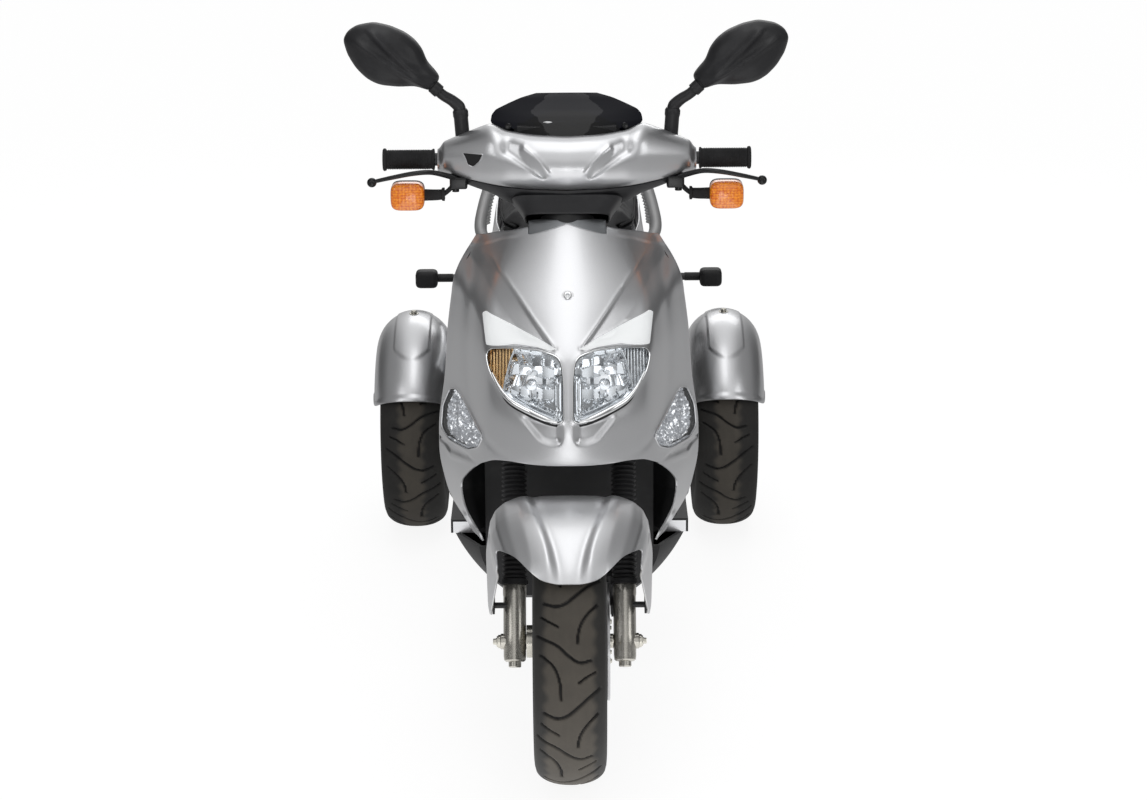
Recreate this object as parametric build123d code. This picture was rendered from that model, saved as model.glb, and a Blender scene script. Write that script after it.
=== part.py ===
"""Three-wheeled sport scooter: one steered front wheel, two rear wheels on a split axle.

Millimetres, +Z up, the rider faces -Y, so +X is the rider's left.
Every piece is drawn from the front axle's foot on the ground (y = 0 below the front axle),
and export() moves it by front_axle_y, which puts the origin at the middle of the length.
"""
from build123d import *
import os
from math import cos, radians, sin

# ---------------------------------------------------------------- driving dimensions
wheelbase = 1320.0
front_axle_y = -699.0          # the front axle, seen from the middle of the whole length
tail_end_y = 1634.0            # number plate face, behind the front axle

front_tyre_radius = 236.0      # 120/70-12
front_tyre_width = 120.0
front_rim_radius = 152.4
rear_tyre_radius = 218.0       # 130/70-10
rear_tyre_width = 130.0
rear_rim_radius = 127.0
rear_half_track = 321.0

caster_angle = 26.0            # steering axis, leaning back from the vertical
fork_offset = 31.0             # the axle leads the steering axis by this much
fork_leg_x = 91.0
slider_radius = 19.5
slider_foot = -33.0            # along the leg, from the axle
slider_top = 72.0
gaiter_radius = 20.5
gaiter_groove = 3.5
gaiter_folds = 9
yoke_low = 372.0
yoke_high = 396.0
yoke_half_width = 116.0
stem_radius = 14.0
stem_top = 822.0
head_tube_low = 402.0
head_tube_high = 600.0
head_tube_radius = 25.0
axle_radius = 6.0
running_gap = 0.05             # radial clearance of a shaft in its hole
seat_gap = 0.3                 # clearance between pieces that are fastened together
clear_gap = 6.0                # clearance between pieces that move past each other

shell_wall = 4.0
deck_level = 695.0             # along the steering axis: the plane that tops the leg shield
neck_foot = 701.0

floor_top = 300.0
floor_bottom = 275.0
floor_front = 440.0
floor_rear = 785.0
floor_half_width = 213.0
floor_lip = 4.0
beam_inner_x = 165.0
belly_bottom = 147.0
rail_tube_radius = 13.0
rail_tube_x = 88.0
rail_tube_z = floor_bottom - rail_tube_radius
rail_end_y = 1390.0
rail_end_z = 682.0
cross_radius = 15.0

bar_y = 390.0
bar_z = 968.0
bar_radius = 11.0
bar_half_length = 312.0
grip_radius = 16.5
grip_inner_x = 226.0

front_fender_radius = 252.0
fender_inner_x = 128.0         # inside face of the blades, where the fork carries them
fender_wall = 3.0
rear_fender_radius = 234.0
rear_fender_half_width = 78.0
rear_fender_start = 26.0       # degrees above the horizontal, at the front
rear_fender_end = 152.0

axle_tube_radius = 32.0
axle_tube_end_x = 235.0
belt_case_x = 112.0
shock_x = 128.0
muffler_x = -194.0
stub_radius = 12.0
hub_inner_x = 246.0

seat_front_y = 790.0
seat_rear_y = 1470.0
seat_line_z = 736.0            # underside of the seat at its front
seat_line_rise = 0.055         # rise of the seat line per millimetre backwards
seat_hinge_y = 788.0
pan_thickness = 10.0
bin_front_y = 850.0
bin_rear_y = 1190.0
bin_half_width = 76.0
bin_floor_z = 500.0

nodes = {}
caster = radians(caster_angle)
fork_frame = Plane(origin=(0, 0, front_tyre_radius), x_dir=(1, 0, 0), z_dir=(0, sin(caster), cos(caster)))


# ---------------------------------------------------------------- helpers
def in_fork(x, back, along):
    """A location in the fork's own frame: back from the legs' plane, along the legs from the axle."""
    return fork_frame.location * Pos(x, back, along)


def fork_point(x, back, along):
    """The same, as a point."""
    return in_fork(x, back, along).position


def slab(x0, x1, y0, y1, z0, z1):
    """A box between two corners."""
    return Pos((x0 + x1) / 2, (y0 + y1) / 2, (z0 + z1) / 2) * Box(x1 - x0, y1 - y0, z1 - z0)


def rod(start, end, radius):
    """A round bar between two points."""
    a, b = Vector(*start), Vector(*end)
    return Part() + Solid.make_cylinder(radius, (b - a).length, Plane(origin=a, z_dir=(b - a)))


def cross_bar(x0, x1, y, z, radius):
    """A round bar along X."""
    return rod((x0, y, z), (x1, y, z), radius)


def tube(points, bend, radius):
    """A round bar along a bent path."""
    path = FilletPolyline(*points, radius=bend)
    return Part() + sweep(Plane(origin=path @ 0, z_dir=path % 0) * Circle(radius), path=path)


def side_plate(outline, x0, x1):
    """A plate drawn from the side, as (y, z) points, between two x planes."""
    face = make_face(Polyline(*[(x0, y, z) for y, z in outline], close=True))
    return Part() + extrude(face, amount=x1 - x0, dir=(1, 0, 0))


def both_sides(shape):
    """A shape and its mirror image on the other side of the centre plane."""
    return shape + mirror(shape, about=Plane.YZ)


def side_of(shape, side):
    """The shape drawn on +X, put on the side asked for."""
    return shape if side > 0 else mirror(shape, about=Plane.YZ)


def ruled(faces):
    """A straight-sided loft through a list of faces."""
    return Part() + loft(faces, ruled=True)


def seat_line(y):
    """Height of the seat's underside."""
    return seat_line_z + (y - seat_front_y) * seat_line_rise


# ---------------------------------------------------------------- wheels
def tyre(width, radius, rim_radius, bead_x):
    """A tubeless tyre's outer form, seated on the rim barrel, about the X axis."""
    half = width / 2
    height = radius - rim_radius
    belly = (half, rim_radius + 0.48 * height)
    shoulder = (half - 8, radius - 0.30 * height)
    with_flange = (bead_x, rim_radius + 9)
    profile = Wire([
        Line((-bead_x, rim_radius), (-with_flange[0], with_flange[1])),
        Line((-with_flange[0], with_flange[1]), (-belly[0], belly[1])),
        Line((-belly[0], belly[1]), (-shoulder[0], shoulder[1])),
        ThreePointArc((-shoulder[0], shoulder[1]), (0, radius), shoulder),
        Line(shoulder, belly),
        Line(belly, with_flange),
        Line(with_flange, (bead_x, rim_radius)),
        Line((bead_x, rim_radius), (-bead_x, rim_radius)),
    ])
    return Part() + revolve(make_face(profile), axis=Axis.X, revolution_arc=360)


def rim(rim_radius, bead_x, hub_radius, hub_x0, hub_x1, bore_radius, spoke_count, spoke_x):
    """A cast wheel about the X axis: barrel with flanges, tapered spokes, hub and bore."""
    barrel_wall = 9.0
    flange_x = 4.0
    barrel = Rot(0, 90, 0) * (Cylinder(rim_radius, 2 * bead_x) - Cylinder(rim_radius - barrel_wall, 2 * bead_x))
    flange_ring = Rot(0, 90, 0) * (Cylinder(rim_radius + 8, flange_x) - Cylinder(rim_radius - barrel_wall, flange_x))
    wheel = barrel + Pos(bead_x + flange_x / 2, 0, 0) * flange_ring + Pos(-bead_x - flange_x / 2, 0, 0) * flange_ring
    hub = rod((hub_x0, 0, 0), (hub_x1, 0, 0), hub_radius)
    root, tip, thick = 25.0, 15.0, 20.0
    reach = rim_radius - barrel_wall + 2
    face = make_face(Polyline(
        (spoke_x, -root, hub_radius - 8), (spoke_x, root, hub_radius - 8),
        (spoke_x, tip, reach), (spoke_x, -tip, reach), close=True))
    spoke = Pos(-thick / 2, 0, 0) * extrude(face, amount=thick, dir=(1, 0, 0))
    wheel = wheel + hub
    for k in range(spoke_count):
        wheel = wheel + Rot(360 / spoke_count * k, 0, 0) * spoke
    return wheel - rod((hub_x0 - 1, 0, 0), (hub_x1 + 1, 0, 0), bore_radius)


front_bead_x = front_tyre_width / 2 - 14
rear_bead_x = rear_tyre_width / 2 - 15
disc_x0 = 61.5
disc_x1 = 65.5
disc_radius = 98.0


def front_wheel():
    """Front tyre, rim and brake disc, on the front axle."""
    place = Pos(0, 0, front_tyre_radius)
    nodes["front_tyre"] = place * tyre(front_tyre_width, front_tyre_radius, front_rim_radius, front_bead_x)
    nodes["front_rim"] = place * rim(
        front_rim_radius, front_bead_x, 30, -60, disc_x0, axle_radius + running_gap, 5, 0)
    disc = rod((disc_x0, 0, 0), (disc_x1, 0, 0), disc_radius) - rod((disc_x0, 0, 0), (disc_x1, 0, 0), 24)
    windows = Part()
    window_count = 6
    for k in range(window_count):
        window = Rot(360 / window_count * k, 0, 0) * rod((disc_x0 - 1, 0, 48), (disc_x1 + 1, 0, 48), 13)
        windows = windows + window
    nodes["front_brake_disc"] = place * (disc - windows)


def rear_wheels():
    """Both rear tyres and rims, on the stub shafts of the axle tube."""
    for name, side in (("left", 1), ("right", -1)):
        place = Pos(side * rear_half_track, wheelbase, rear_tyre_radius)
        nodes[f"rear_tyre_{name}"] = place * tyre(rear_tyre_width, rear_tyre_radius, rear_rim_radius, rear_bead_x)
        hub_reach = rear_half_track - hub_inner_x
        wheel = rim(rear_rim_radius, rear_bead_x, 42, -hub_reach, 30, stub_radius + running_gap, 5, 12)
        nodes[f"rear_rim_{name}"] = place * side_of(wheel, side)


# ---------------------------------------------------------------- fork and steering
def fork():
    """Sliders, rubber gaiters, yoke with stem, axle and the front brake caliper."""
    leg = in_fork(fork_leg_x, 0, 0)
    slider_length = slider_top - slider_foot
    slider = leg * Pos(0, 0, (slider_top + slider_foot) / 2) * Cylinder(slider_radius, slider_length)
    foot_bolt = leg * Pos(0, 0, slider_foot - 5) * Cylinder(11, 10)
    stay = slab(fork_leg_x + 12, fender_inner_x, 10, 26, 282, 300)
    slider = slider + foot_bolt + stay
    slider = slider - cross_bar(0, fork_leg_x + 60, 0, front_tyre_radius, axle_radius)
    nodes["fork_sliders"] = both_sides(slider)

    fold = (yoke_low - slider_top) / gaiter_folds
    steps = []
    for k in range(gaiter_folds):
        low = slider_top + k * fold
        steps += [(gaiter_radius - gaiter_groove, low), (gaiter_radius, low + 0.5 * fold)]
    outline = [(0, slider_top)] + steps + [(gaiter_radius - gaiter_groove, yoke_low), (0, yoke_low)]
    face = make_face(Polyline(*[(r, 0, z) for r, z in outline], close=True))
    gaiter = leg * revolve(face, axis=Axis.Z, revolution_arc=360)
    nodes["fork_gaiters"] = both_sides(Part() + gaiter)

    mid = (yoke_low + yoke_high) / 2
    yoke = in_fork(0, fork_offset / 2, mid) * Box(2 * (yoke_half_width - 24), 46, yoke_high - yoke_low)
    ends = both_sides(in_fork(fork_leg_x, 0, mid) * Cylinder(25, yoke_high - yoke_low))
    boss = in_fork(0, fork_offset, mid) * Cylinder(32, yoke_high - yoke_low)
    stem = in_fork(0, fork_offset, (yoke_high + stem_top) / 2) * Cylinder(stem_radius, stem_top - yoke_high)
    nodes["steering_stem"] = yoke + ends + boss + stem

    axle_end = fork_leg_x + slider_radius
    spacer_out = fork_leg_x - slider_radius
    axle = cross_bar(-axle_end - 12, axle_end + 12, 0, 0, axle_radius)
    nuts = both_sides(cross_bar(axle_end, axle_end + 8, 0, 0, 11))
    spacer = cross_bar(disc_x1 + seat_gap, spacer_out, 0, 0, 12)
    speedometer_drive = cross_bar(-spacer_out, -60 - seat_gap, 0, 0, 27)
    nodes["front_axle"] = Pos(0, 0, front_tyre_radius) * (axle + nuts + spacer + speedometer_drive)
    nodes["fork_sliders"] = nodes["fork_sliders"] - nodes["front_axle"]

    caliper = slab(53, 71, 54, 108, 262, 330)
    bracket = slab(fork_leg_x - 22, fork_leg_x + 8, 28, 78, 268, 288)
    slot = cross_bar(disc_x0 - 2.5, disc_x1 + 2.5, 0, front_tyre_radius, disc_radius + 4)
    nodes["brake_caliper"] = (caliper + bracket) - slot - nodes["fork_sliders"]


def front_fender():
    """The painted hood over the front tyre, with the two blades outside the fork legs."""
    r = front_fender_radius
    half = fender_inner_x + fender_wall

    def profile(inset):
        side_r = 150.0
        return make_face(Wire([
            Line((-half + inset, side_r), (-half + inset, 190)),
            ThreePointArc((-half + inset, 190), (-120 + inset, r - 27 - inset), (-96, r - 11 - inset)),
            ThreePointArc((-96, r - 11 - inset), (0, r - inset), (96, r - 11 - inset)),
            ThreePointArc((96, r - 11 - inset), (120 - inset, r - 27 - inset), (half - inset, 190)),
            Line((half - inset, 190), (half - inset, side_r)),
            Line((half - inset, side_r), (-half + inset, side_r)),
        ]))

    hood = revolve(profile(0), axis=Axis.X) - revolve(profile(fender_wall), axis=Axis.X)
    hood = Pos(0, 0, front_tyre_radius) * (Part() + hood)
    lip_z, shoulder_z, rear_y = 412.0, 431.0, 6.0
    keep_side = side_plate([(-225, lip_z), (-225, 520), (rear_y, 520), (40, 420), (20, 400), (-120, 400)], -half, half)
    front_lip = Wire([
        ThreePointArc((-112, -300, shoulder_z + 6), (0, -300, lip_z), (112, -300, shoulder_z + 6)),
        Line((112, -300, shoulder_z + 6), (112, -300, 300)),
        Line((112, -300, 300), (-112, -300, 300)),
        Line((-112, -300, 300), (-112, -300, shoulder_z + 6)),
    ])
    lip_cut = extrude(make_face(front_lip), amount=330, dir=(0, 1, 0))
    hood = (hood & keep_side) - lip_cut
    blade_outline = [(-128, 412), (-60, 372), (6, 281), (26, 280), (46, 372), (38, 420), (0, 424), (-128, 424)]
    blade = side_plate(blade_outline, half - fender_wall, half)
    nodes["front_fender"] = hood + both_sides(blade)


# ---------------------------------------------------------------- leg shield
# z, y of the centre line, x and y where the face turns, x and y of the side edge
apron_rows = [
    (306, 92, 112, 190, 168, 356),
    (380, 80, 146, 168, 209, 344),
    (455, 60, 148, 138, 225, 336),
    (525, 40, 140, 116, 224, 330),
    (600, 46, 136, 112, 212, 328),
    (690, 82, 138, 146, 206, 330),
    (765, 162, 132, 196, 196, 336),
    (838, 250, 104, 290, 153, 350),
    (900, 318, 70, 345, 110, 362),
]
shield_back_y = 440.0
shield_foot = 8.0              # height of the shield's lower edge over the floor


def apron_solid(grow, back):
    """The leg shield's front form as a full block; grow moves its skin out, back its open rear."""
    faces = []
    for z, cy, fx, fy, sx, sy in apron_rows:
        faces.append(make_face(Wire([
            ThreePointArc((-fx - grow, fy - grow, z), (0, cy - grow, z), (fx + grow, fy - grow, z)),
            Line((fx + grow, fy - grow, z), (sx + grow, sy + back, z)),
            Line((sx + grow, sy + back, z), (-sx - grow, sy + back, z)),
            Line((-sx - grow, sy + back, z), (-fx - grow, fy - grow, z)),
        ])))
    return ruled(faces)


def shield_solid(inset):
    """The rider's side of the leg shield as a full block."""
    faces = []
    for z, _, _, _, sx, sy in apron_rows:
        front = sy if inset == 0 else sy - 20
        faces.append(make_face(Wire([
            Line((-sx + inset, front, z), (sx - inset, front, z)),
            Line((sx - inset, front, z), (sx - inset, sy + 6 - inset, z)),
            ThreePointArc((sx - inset, sy + 6 - inset, z), (0, shield_back_y - inset, z), (-sx + inset, sy + 6 - inset, z)),
            Line((-sx + inset, sy + 6 - inset, z), (-sx + inset, front, z)),
        ])))
    return ruled(faces)


def front_prism(outline, grow=0.0):
    """A block that runs along Y through an outline of (x, z) points, grown outwards."""
    face = make_face(Polyline(*[(x, -50, z) for x, z in outline], close=True))
    if grow:
        face = offset(face, amount=grow)
    return Part() + extrude(face, amount=450, dir=(0, 1, 0))


headlamp_outline = [(8, 601), (8, 659), (11, 689), (18, 698), (46, 705), (88, 706), (129, 699), (136, 689),
                    (130, 666), (112, 638), (97, 624), (53, 607), (20, 596)]
marker_outline = [(207, 587), (192, 595), (187, 594), (166, 573), (144, 552), (152, 528), (171, 509), (212, 499),
                  (227, 512), (224, 549)]
headlamp_depth = 26.0
lamp_gap = 1.0


def above_deck(level):
    """Everything beyond a plane across the steering axis."""
    return in_fork(0, 0, level + 300) * Box(1200, 1600, 600)


def leg_shield():
    """Front apron, its lamps, and the black inner shield with its deck round the steering stem."""
    arch = Wire([
        ThreePointArc((-135, -120, 497), (0, -120, 525), (135, -120, 497)),
        ThreePointArc((135, -120, 497), (169, -120, 468), (187, -120, 426)),
        ThreePointArc((187, -120, 426), (180, -120, 372), (156, -120, 318)),
        Line((156, -120, 318), (156, -120, 280)),
        Line((156, -120, 280), (-156, -120, 280)),
        Line((-156, -120, 280), (-156, -120, 318)),
        ThreePointArc((-156, -120, 318), (-180, -120, 372), (-187, -120, 426)),
        ThreePointArc((-187, -120, 426), (-169, -120, 468), (-135, -120, 497)),
    ])
    arch_cut = Part() + extrude(make_face(arch), amount=600, dir=(0, 1, 0))
    shell = apron_solid(0, 0) - apron_solid(-shell_wall, 30) - arch_cut - above_deck(deck_level)
    for side in (1, -1):
        lamp = [(side * x, z) for x, z in headlamp_outline]
        marker = [(side * x, z) for x, z in marker_outline]
        shell = shell - front_prism(lamp, lamp_gap) - front_prism(marker, lamp_gap)
        name = "left" if side > 0 else "right"
        nodes[f"headlamp_{name}"] = (apron_solid(-1, 0) - apron_solid(-headlamp_depth, 30)) & front_prism(lamp)
        nodes[f"marker_lamp_{name}"] = (apron_solid(2, 0) - apron_solid(-14, 30)) & front_prism(marker)
    nodes["front_apron"] = shell

    inner = shield_solid(0) - shield_solid(shell_wall) - slab(-260, 260, 300, 500, 250, floor_top + shield_foot)
    inner = inner - above_deck(deck_level)
    stem_hole = in_fork(0, fork_offset, deck_level) * Cylinder(42, 60)
    deck_box = in_fork(0, 0, deck_level - shell_wall / 2) * Box(600, 900, shell_wall)
    deck = deck_box & (apron_solid(-shell_wall - seat_gap, 0) + shield_solid(0))
    nodes["inner_leg_shield"] = (inner + deck) - stem_hole - nodes["front_apron"]


def splash_guard():
    """The black sheet behind the front wheel, in front of the down tube."""
    guard_y = 366.0
    outline = Polyline((-148, 560), (148, 560), (148, 250), (100, 186), (-100, 186), (-148, 250), close=True)
    sheet = Plane(origin=(0, guard_y, 0), x_dir=(1, 0, 0), z_dir=(0, -1, 0)) * make_face(outline)
    nodes["splash_guard"] = Part() + extrude(sheet, amount=5)


# ---------------------------------------------------------------- floor and belly
def floor():
    """Footboard, the two side beams under its lip, and the boat-shaped belly pan."""
    w = floor_half_width
    board = slab(-beam_inner_x, beam_inner_x, floor_front, floor_rear, floor_bottom, floor_top)
    board = board + slab(-w, w, floor_front, floor_rear, floor_top - floor_lip, floor_top)
    board = board + both_sides(slab(w - floor_lip, w, floor_front, floor_rear, floor_bottom, floor_top))
    board = board + slab(-130, 130, floor_front - 22, floor_front, floor_bottom, floor_top + shield_foot)
    nodes["footboard"] = board - nodes["inner_leg_shield"]
    beam = slab(beam_inner_x, w - floor_lip, floor_front, floor_rear, floor_bottom, floor_top - floor_lip)
    nodes["floor_side_beams"] = both_sides(beam)

    # y, half width at the top, x and z of the bulge, x and z of the flat bottom's edge
    belly_rows = [
        (366, 160, 140, 222, 88, 182),
        (450, 207, 160, 203, 96, belly_bottom),
        (720, 207, 160, 203, 96, belly_bottom),
        (floor_rear, 190, 150, 214, 92, belly_bottom + 18),
    ]

    def pan(inset, ends):
        faces = []
        last = len(belly_rows) - 1
        for k, (y, top_x, mid_x, mid_z, low_x, low_z) in enumerate(belly_rows):
            y = y + (ends if k == 0 else -ends if k == last else 0)
            top_z = floor_bottom + (10 if inset else 0)
            faces.append(make_face(Wire([
                ThreePointArc((top_x - inset, y, top_z), (mid_x - inset, y, mid_z), (low_x - inset, y, low_z + inset)),
                Line((low_x - inset, y, low_z + inset), (-low_x + inset, y, low_z + inset)),
                ThreePointArc((-low_x + inset, y, low_z + inset), (-mid_x + inset, y, mid_z), (-top_x + inset, y, top_z)),
                Line((-top_x + inset, y, top_z), (top_x - inset, y, top_z)),
            ])))
        return ruled(faces)

    pan_shell = pan(0, 0) - pan(shell_wall, shell_wall)
    rail_slots = both_sides(rod((rail_tube_x, floor_rear - 30, rail_tube_z), (rail_tube_x, floor_rear + 30, rail_tube_z),
                                rail_tube_radius + 8))
    nodes["belly_pan"] = pan_shell - rail_slots


# ---------------------------------------------------------------- frame
def frame():
    """Steel underbone: head tube, down tube, two floor rails that rise to the tail, cross bars."""
    head = in_fork(0, fork_offset, (head_tube_low + head_tube_high) / 2)
    head_length = head_tube_high - head_tube_low
    head_tube = head * Cylinder(head_tube_radius, head_length)
    down_y, down_radius = 392.0, 20.0
    top = fork_point(0, fork_offset + 6, 555)
    down = tube([(0, top.Y, top.Z), (0, down_y, 590), (0, down_y, rail_tube_z)], 60, down_radius)
    cross_front = cross_bar(-rail_tube_x - 14, rail_tube_x + 14, down_y, rail_tube_z, cross_radius)
    rail = tube([
        (rail_tube_x, down_y, rail_tube_z), (rail_tube_x, 832, rail_tube_z),
        (rail_tube_x, 930, 640), (rail_tube_x, rail_end_y, rail_end_z)], 50, rail_tube_radius)
    cross_rear = cross_bar(-rail_tube_x - 14, rail_tube_x + 14, rail_end_y, rail_end_z, cross_radius)
    cross_seat = cross_bar(-rail_tube_x, rail_tube_x, 873, 420, 10)
    body = head_tube + down + cross_front + both_sides(rail) + cross_rear + cross_seat
    bore = head * Cylinder(stem_radius + running_gap, head_length + 60)
    nodes["main_frame"] = body - bore


# ---------------------------------------------------------------- seat and rear body
def rear_body():
    """Front cover of the seat box, under-seat bin, side panels and tail."""
    # y, x and z of the top edge, of the bulge and of the lower edge
    panel_rows = [
        (seat_front_y, 122, seat_line(seat_front_y), 146, 590, 150, 312),
        (900, 137, seat_line(900), 158, 650, 168, 400),
        (1060, 139, seat_line(1060), 150, 665, 156, 478),
        (1250, 131, seat_line(1250), 137, 700, 128, 570),
        (1420, 106, seat_line(1420), 118, 730, 96, 640),
        (1545, 72, seat_line(1545), 84, 745, 64, 684),
    ]

    def panel(rows, wall):
        faces = []
        for y, tx, tz, mx, mz, bx, bz in rows:
            tz = tz - seat_gap
            faces.append(make_face(Wire([
                ThreePointArc((tx, y, tz), (mx, y, mz), (bx, y, bz)),
                Line((bx, y, bz), (bx - wall, y, bz)),
                ThreePointArc((bx - wall, y, bz), (mx - wall, y, mz), (tx - wall, y, tz)),
                Line((tx - wall, y, tz), (tx, y, tz)),
            ])))
        return ruled(faces)

    side = panel(panel_rows, shell_wall)
    nodes["side_panel_left"] = side
    nodes["side_panel_right"] = mirror(side, about=Plane.YZ)

    front_wall = side_plate([
        (seat_front_y - 5, floor_top), (seat_front_y - 5, floor_top + 24), (seat_front_y - 30, 520),
        (seat_front_y - 5, seat_line_z - 1), (seat_front_y - 1, seat_line_z - 1), (seat_front_y - 26, 520),
        (seat_front_y - 1, floor_top + 24), (seat_front_y - 1, floor_top)], -146, 146)
    cheek = make_face(Polyline((122, 700, 745), (146, 700, 590), (150, 700, 290), (175, 700, 290), (175, 700, 760), close=True))
    trim = both_sides(Part() + extrude(cheek, amount=120, dir=(0, 1, 0)))
    nodes["seat_box_front"] = front_wall - trim

    bin_top = seat_line(bin_front_y) - seat_gap
    outer = side_plate([
        (bin_front_y, bin_floor_z), (bin_front_y, seat_line(bin_front_y) - seat_gap),
        (bin_rear_y, seat_line(bin_rear_y) - seat_gap), (bin_rear_y, bin_floor_z + 60)], -bin_half_width, bin_half_width)
    inner = side_plate([
        (bin_front_y + 5, bin_floor_z + 5), (bin_front_y + 5, bin_top + 60),
        (bin_rear_y - 5, bin_top + 60), (bin_rear_y - 5, bin_floor_z + 65)], -bin_half_width + 5, bin_half_width - 5)
    nodes["underseat_bin"] = outer - inner - nodes["main_frame"]

    deck_front = seat_rear_y + 8
    tail_top = side_plate([
        (deck_front, seat_line(deck_front) - 26), (deck_front, seat_line(deck_front) + 10),
        (1545, seat_line(1545) - 1), (1545, seat_line(1545) - 22)], -66, 66)
    nodes["tail_cowl"] = tail_top
    lamp = side_plate([(1545, 694), (1545, 774), (1572, 762), (1588, 738), (1580, 704)], -62, 62)
    nodes["tail_lamp"] = lamp


def seat():
    """Seat pan that hinges at the front, and the padded cushion on it."""
    # y, half width, height of the top above the seat line, half width at the top
    seat_rows = [
        (seat_front_y, 92, 22, 70),
        (835, 128, 44, 104),
        (930, 137, 46, 116),
        (1080, 138, 50, 116),
        (1180, 134, 74, 108),
        (1320, 114, 84, 90),
        (1410, 92, 76, 72),
        (seat_rear_y, 62, 48, 48),
    ]
    pan_faces, pad_faces = [], []
    for y, half, rise, top_half in seat_rows:
        low = seat_line(y)
        pan_faces.append(make_face(Polyline(
            (-half + 8, y, low), (half - 8, y, low),
            (half - 8, y, low + pan_thickness), (-half + 8, y, low + pan_thickness), close=True)))
        base = low + pan_thickness
        pad_faces.append(make_face(Wire([
            Line((-half, y, base), (half, y, base)),
            Line((half, y, base), (top_half, y, low + rise - 8)),
            ThreePointArc((top_half, y, low + rise - 8), (0, y, low + rise), (-top_half, y, low + rise - 8)),
            Line((-top_half, y, low + rise - 8), (-half, y, base)),
        ])))
    nodes["seat_pan"] = ruled(pan_faces)
    nodes["seat_cushion"] = ruled(pad_faces)


def grab_rail():
    """The cast hoop round the back of the seat, with its two feet on the tail."""
    rail_radius = 10.0
    half_path = [(148, 1120, 640), (174, 1160, 664), (168, 1215, 704), (148, 1290, 752), (112, 1420, 802)]
    points = half_path + [(-x, y, z) for x, y, z in reversed(half_path)]
    points.insert(len(half_path), (44, 1506, 826))
    points.insert(len(half_path) + 1, (-44, 1506, 826))
    hoop = tube(points, 24, rail_radius)
    foot = slab(-26, 26, 1494, 1518, seat_line(1506) - 10, 826)
    side_foot = both_sides(rod((128, 1112, 632), (150, 1122, 641), 12))
    nodes["grab_rail"] = (hoop + foot + side_foot) - nodes["side_panel_left"] - nodes["side_panel_right"]
    nodes["tail_cowl"] = nodes["tail_cowl"] - slab(-26, 26, 1494, 1518, 700, 840)


# ---------------------------------------------------------------- engine, axle, exhaust
def engine():
    """Engine block, fan cover, belt case and air box: the swinging drive unit."""
    head_y = seat_front_y + 60
    block_y = head_y + 55
    block = slab(-88, 52, block_y, block_y + 205, 196, 400) - slab(-88, 52, block_y, block_y + 45, 196, 230)
    cylinder = slab(-62, 26, head_y, block_y, 262, 366)
    nodes["engine_block"] = block + cylinder
    fan_y, fan_z = block_y + 105.0, 298.0
    fan = cross_bar(-128, -88, fan_y, fan_z, 86)
    grille = Part()
    slot_count = 7
    for k in range(slot_count):
        z = fan_z - 54 + 18 * k
        grille = grille + slab(-129, -120, fan_y - 52, fan_y + 52, z - 4, z + 4)
    nodes["fan_cover"] = fan - grille

    crank_y = block_y + 95
    case_front = cross_bar(52, belt_case_x, crank_y, 298, 96)
    case_rear = cross_bar(52, belt_case_x, wheelbase, rear_tyre_radius, 84)
    case_outline = [(crank_y - 8, 394), (wheelbase + 16, 300), (wheelbase - 8, 134), (crank_y - 16, 203)]
    nodes["belt_case"] = case_front + case_rear + side_plate(case_outline, 52, belt_case_x)
    air_box = slab(40, 122, wheelbase - 230, wheelbase - 30, 412, 508)
    air_leg = slab(70, 100, wheelbase - 150, wheelbase - 120, 330, 412)
    nodes["air_box"] = (fillet(air_box.edges(), 14) + air_leg) - nodes["belt_case"]


def rear_axle():
    """Axle tube with differential and fixed stub shafts, and the two shock absorbers."""
    r = rear_tyre_radius
    tube_right = cross_bar(-axle_tube_end_x, 52, wheelbase, r, axle_tube_radius)
    tube_left = cross_bar(belt_case_x, axle_tube_end_x, wheelbase, r, axle_tube_radius)
    differential = cross_bar(-70, 20, wheelbase, r, 66)
    stub_end = rear_half_track + 44
    stub_left = cross_bar(axle_tube_end_x, stub_end, wheelbase, r, stub_radius)
    stub_right = cross_bar(-stub_end, -axle_tube_end_x, wheelbase, r, stub_radius)
    nut_left = cross_bar(stub_end - 13, stub_end, wheelbase, r, 17)
    nut_right = cross_bar(-stub_end, -stub_end + 13, wheelbase, r, 17)
    right = tube_right + differential + stub_right + nut_right
    left = tube_left + stub_left + nut_left
    arm = slab(-60, 52, seat_front_y + 320, wheelbase, r + 2, r + 46)
    nodes["rear_axle"] = (right + arm) + left

    coil_radius, wire_radius, coil_turns = 25.0, 5.0, 7
    low = Vector(shock_x, wheelbase + 20, r + 52)
    high = Vector(92, wheelbase + 32, 640)
    axis_dir = (high - low).normalized()
    length = (high - low).length
    shock = rod(low, high, 11)
    for k in range(coil_turns):
        middle = low + axis_dir * (length * (0.26 + 0.62 * k / (coil_turns - 1)))
        shock = shock + Plane(origin=middle, z_dir=axis_dir).location * Torus(coil_radius - wire_radius, wire_radius)
        shock = shock + Plane(origin=middle, z_dir=axis_dir).location * Cylinder(coil_radius - wire_radius, 2)
    lower_eye = cross_bar(shock_x - 12, shock_x + 12, low.Y, low.Z, 15)
    lug = slab(shock_x - 8, shock_x + 8, low.Y - 12, low.Y + 12, r + 20, low.Z)
    upper_eye = cross_bar(high.X - 9, high.X + 9, high.Y, high.Z, 14)
    hanger = slab(rail_tube_x - 6, rail_tube_x + 6, high.Y - 14, high.Y + 14, high.Z, rail_end_z)
    nodes["rear_shocks"] = both_sides(shock + lower_eye + lug + upper_eye + hanger)
    nodes["rear_shocks"] = nodes["rear_shocks"] - nodes["rear_axle"] - nodes["main_frame"] - nodes["belt_case"]


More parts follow.
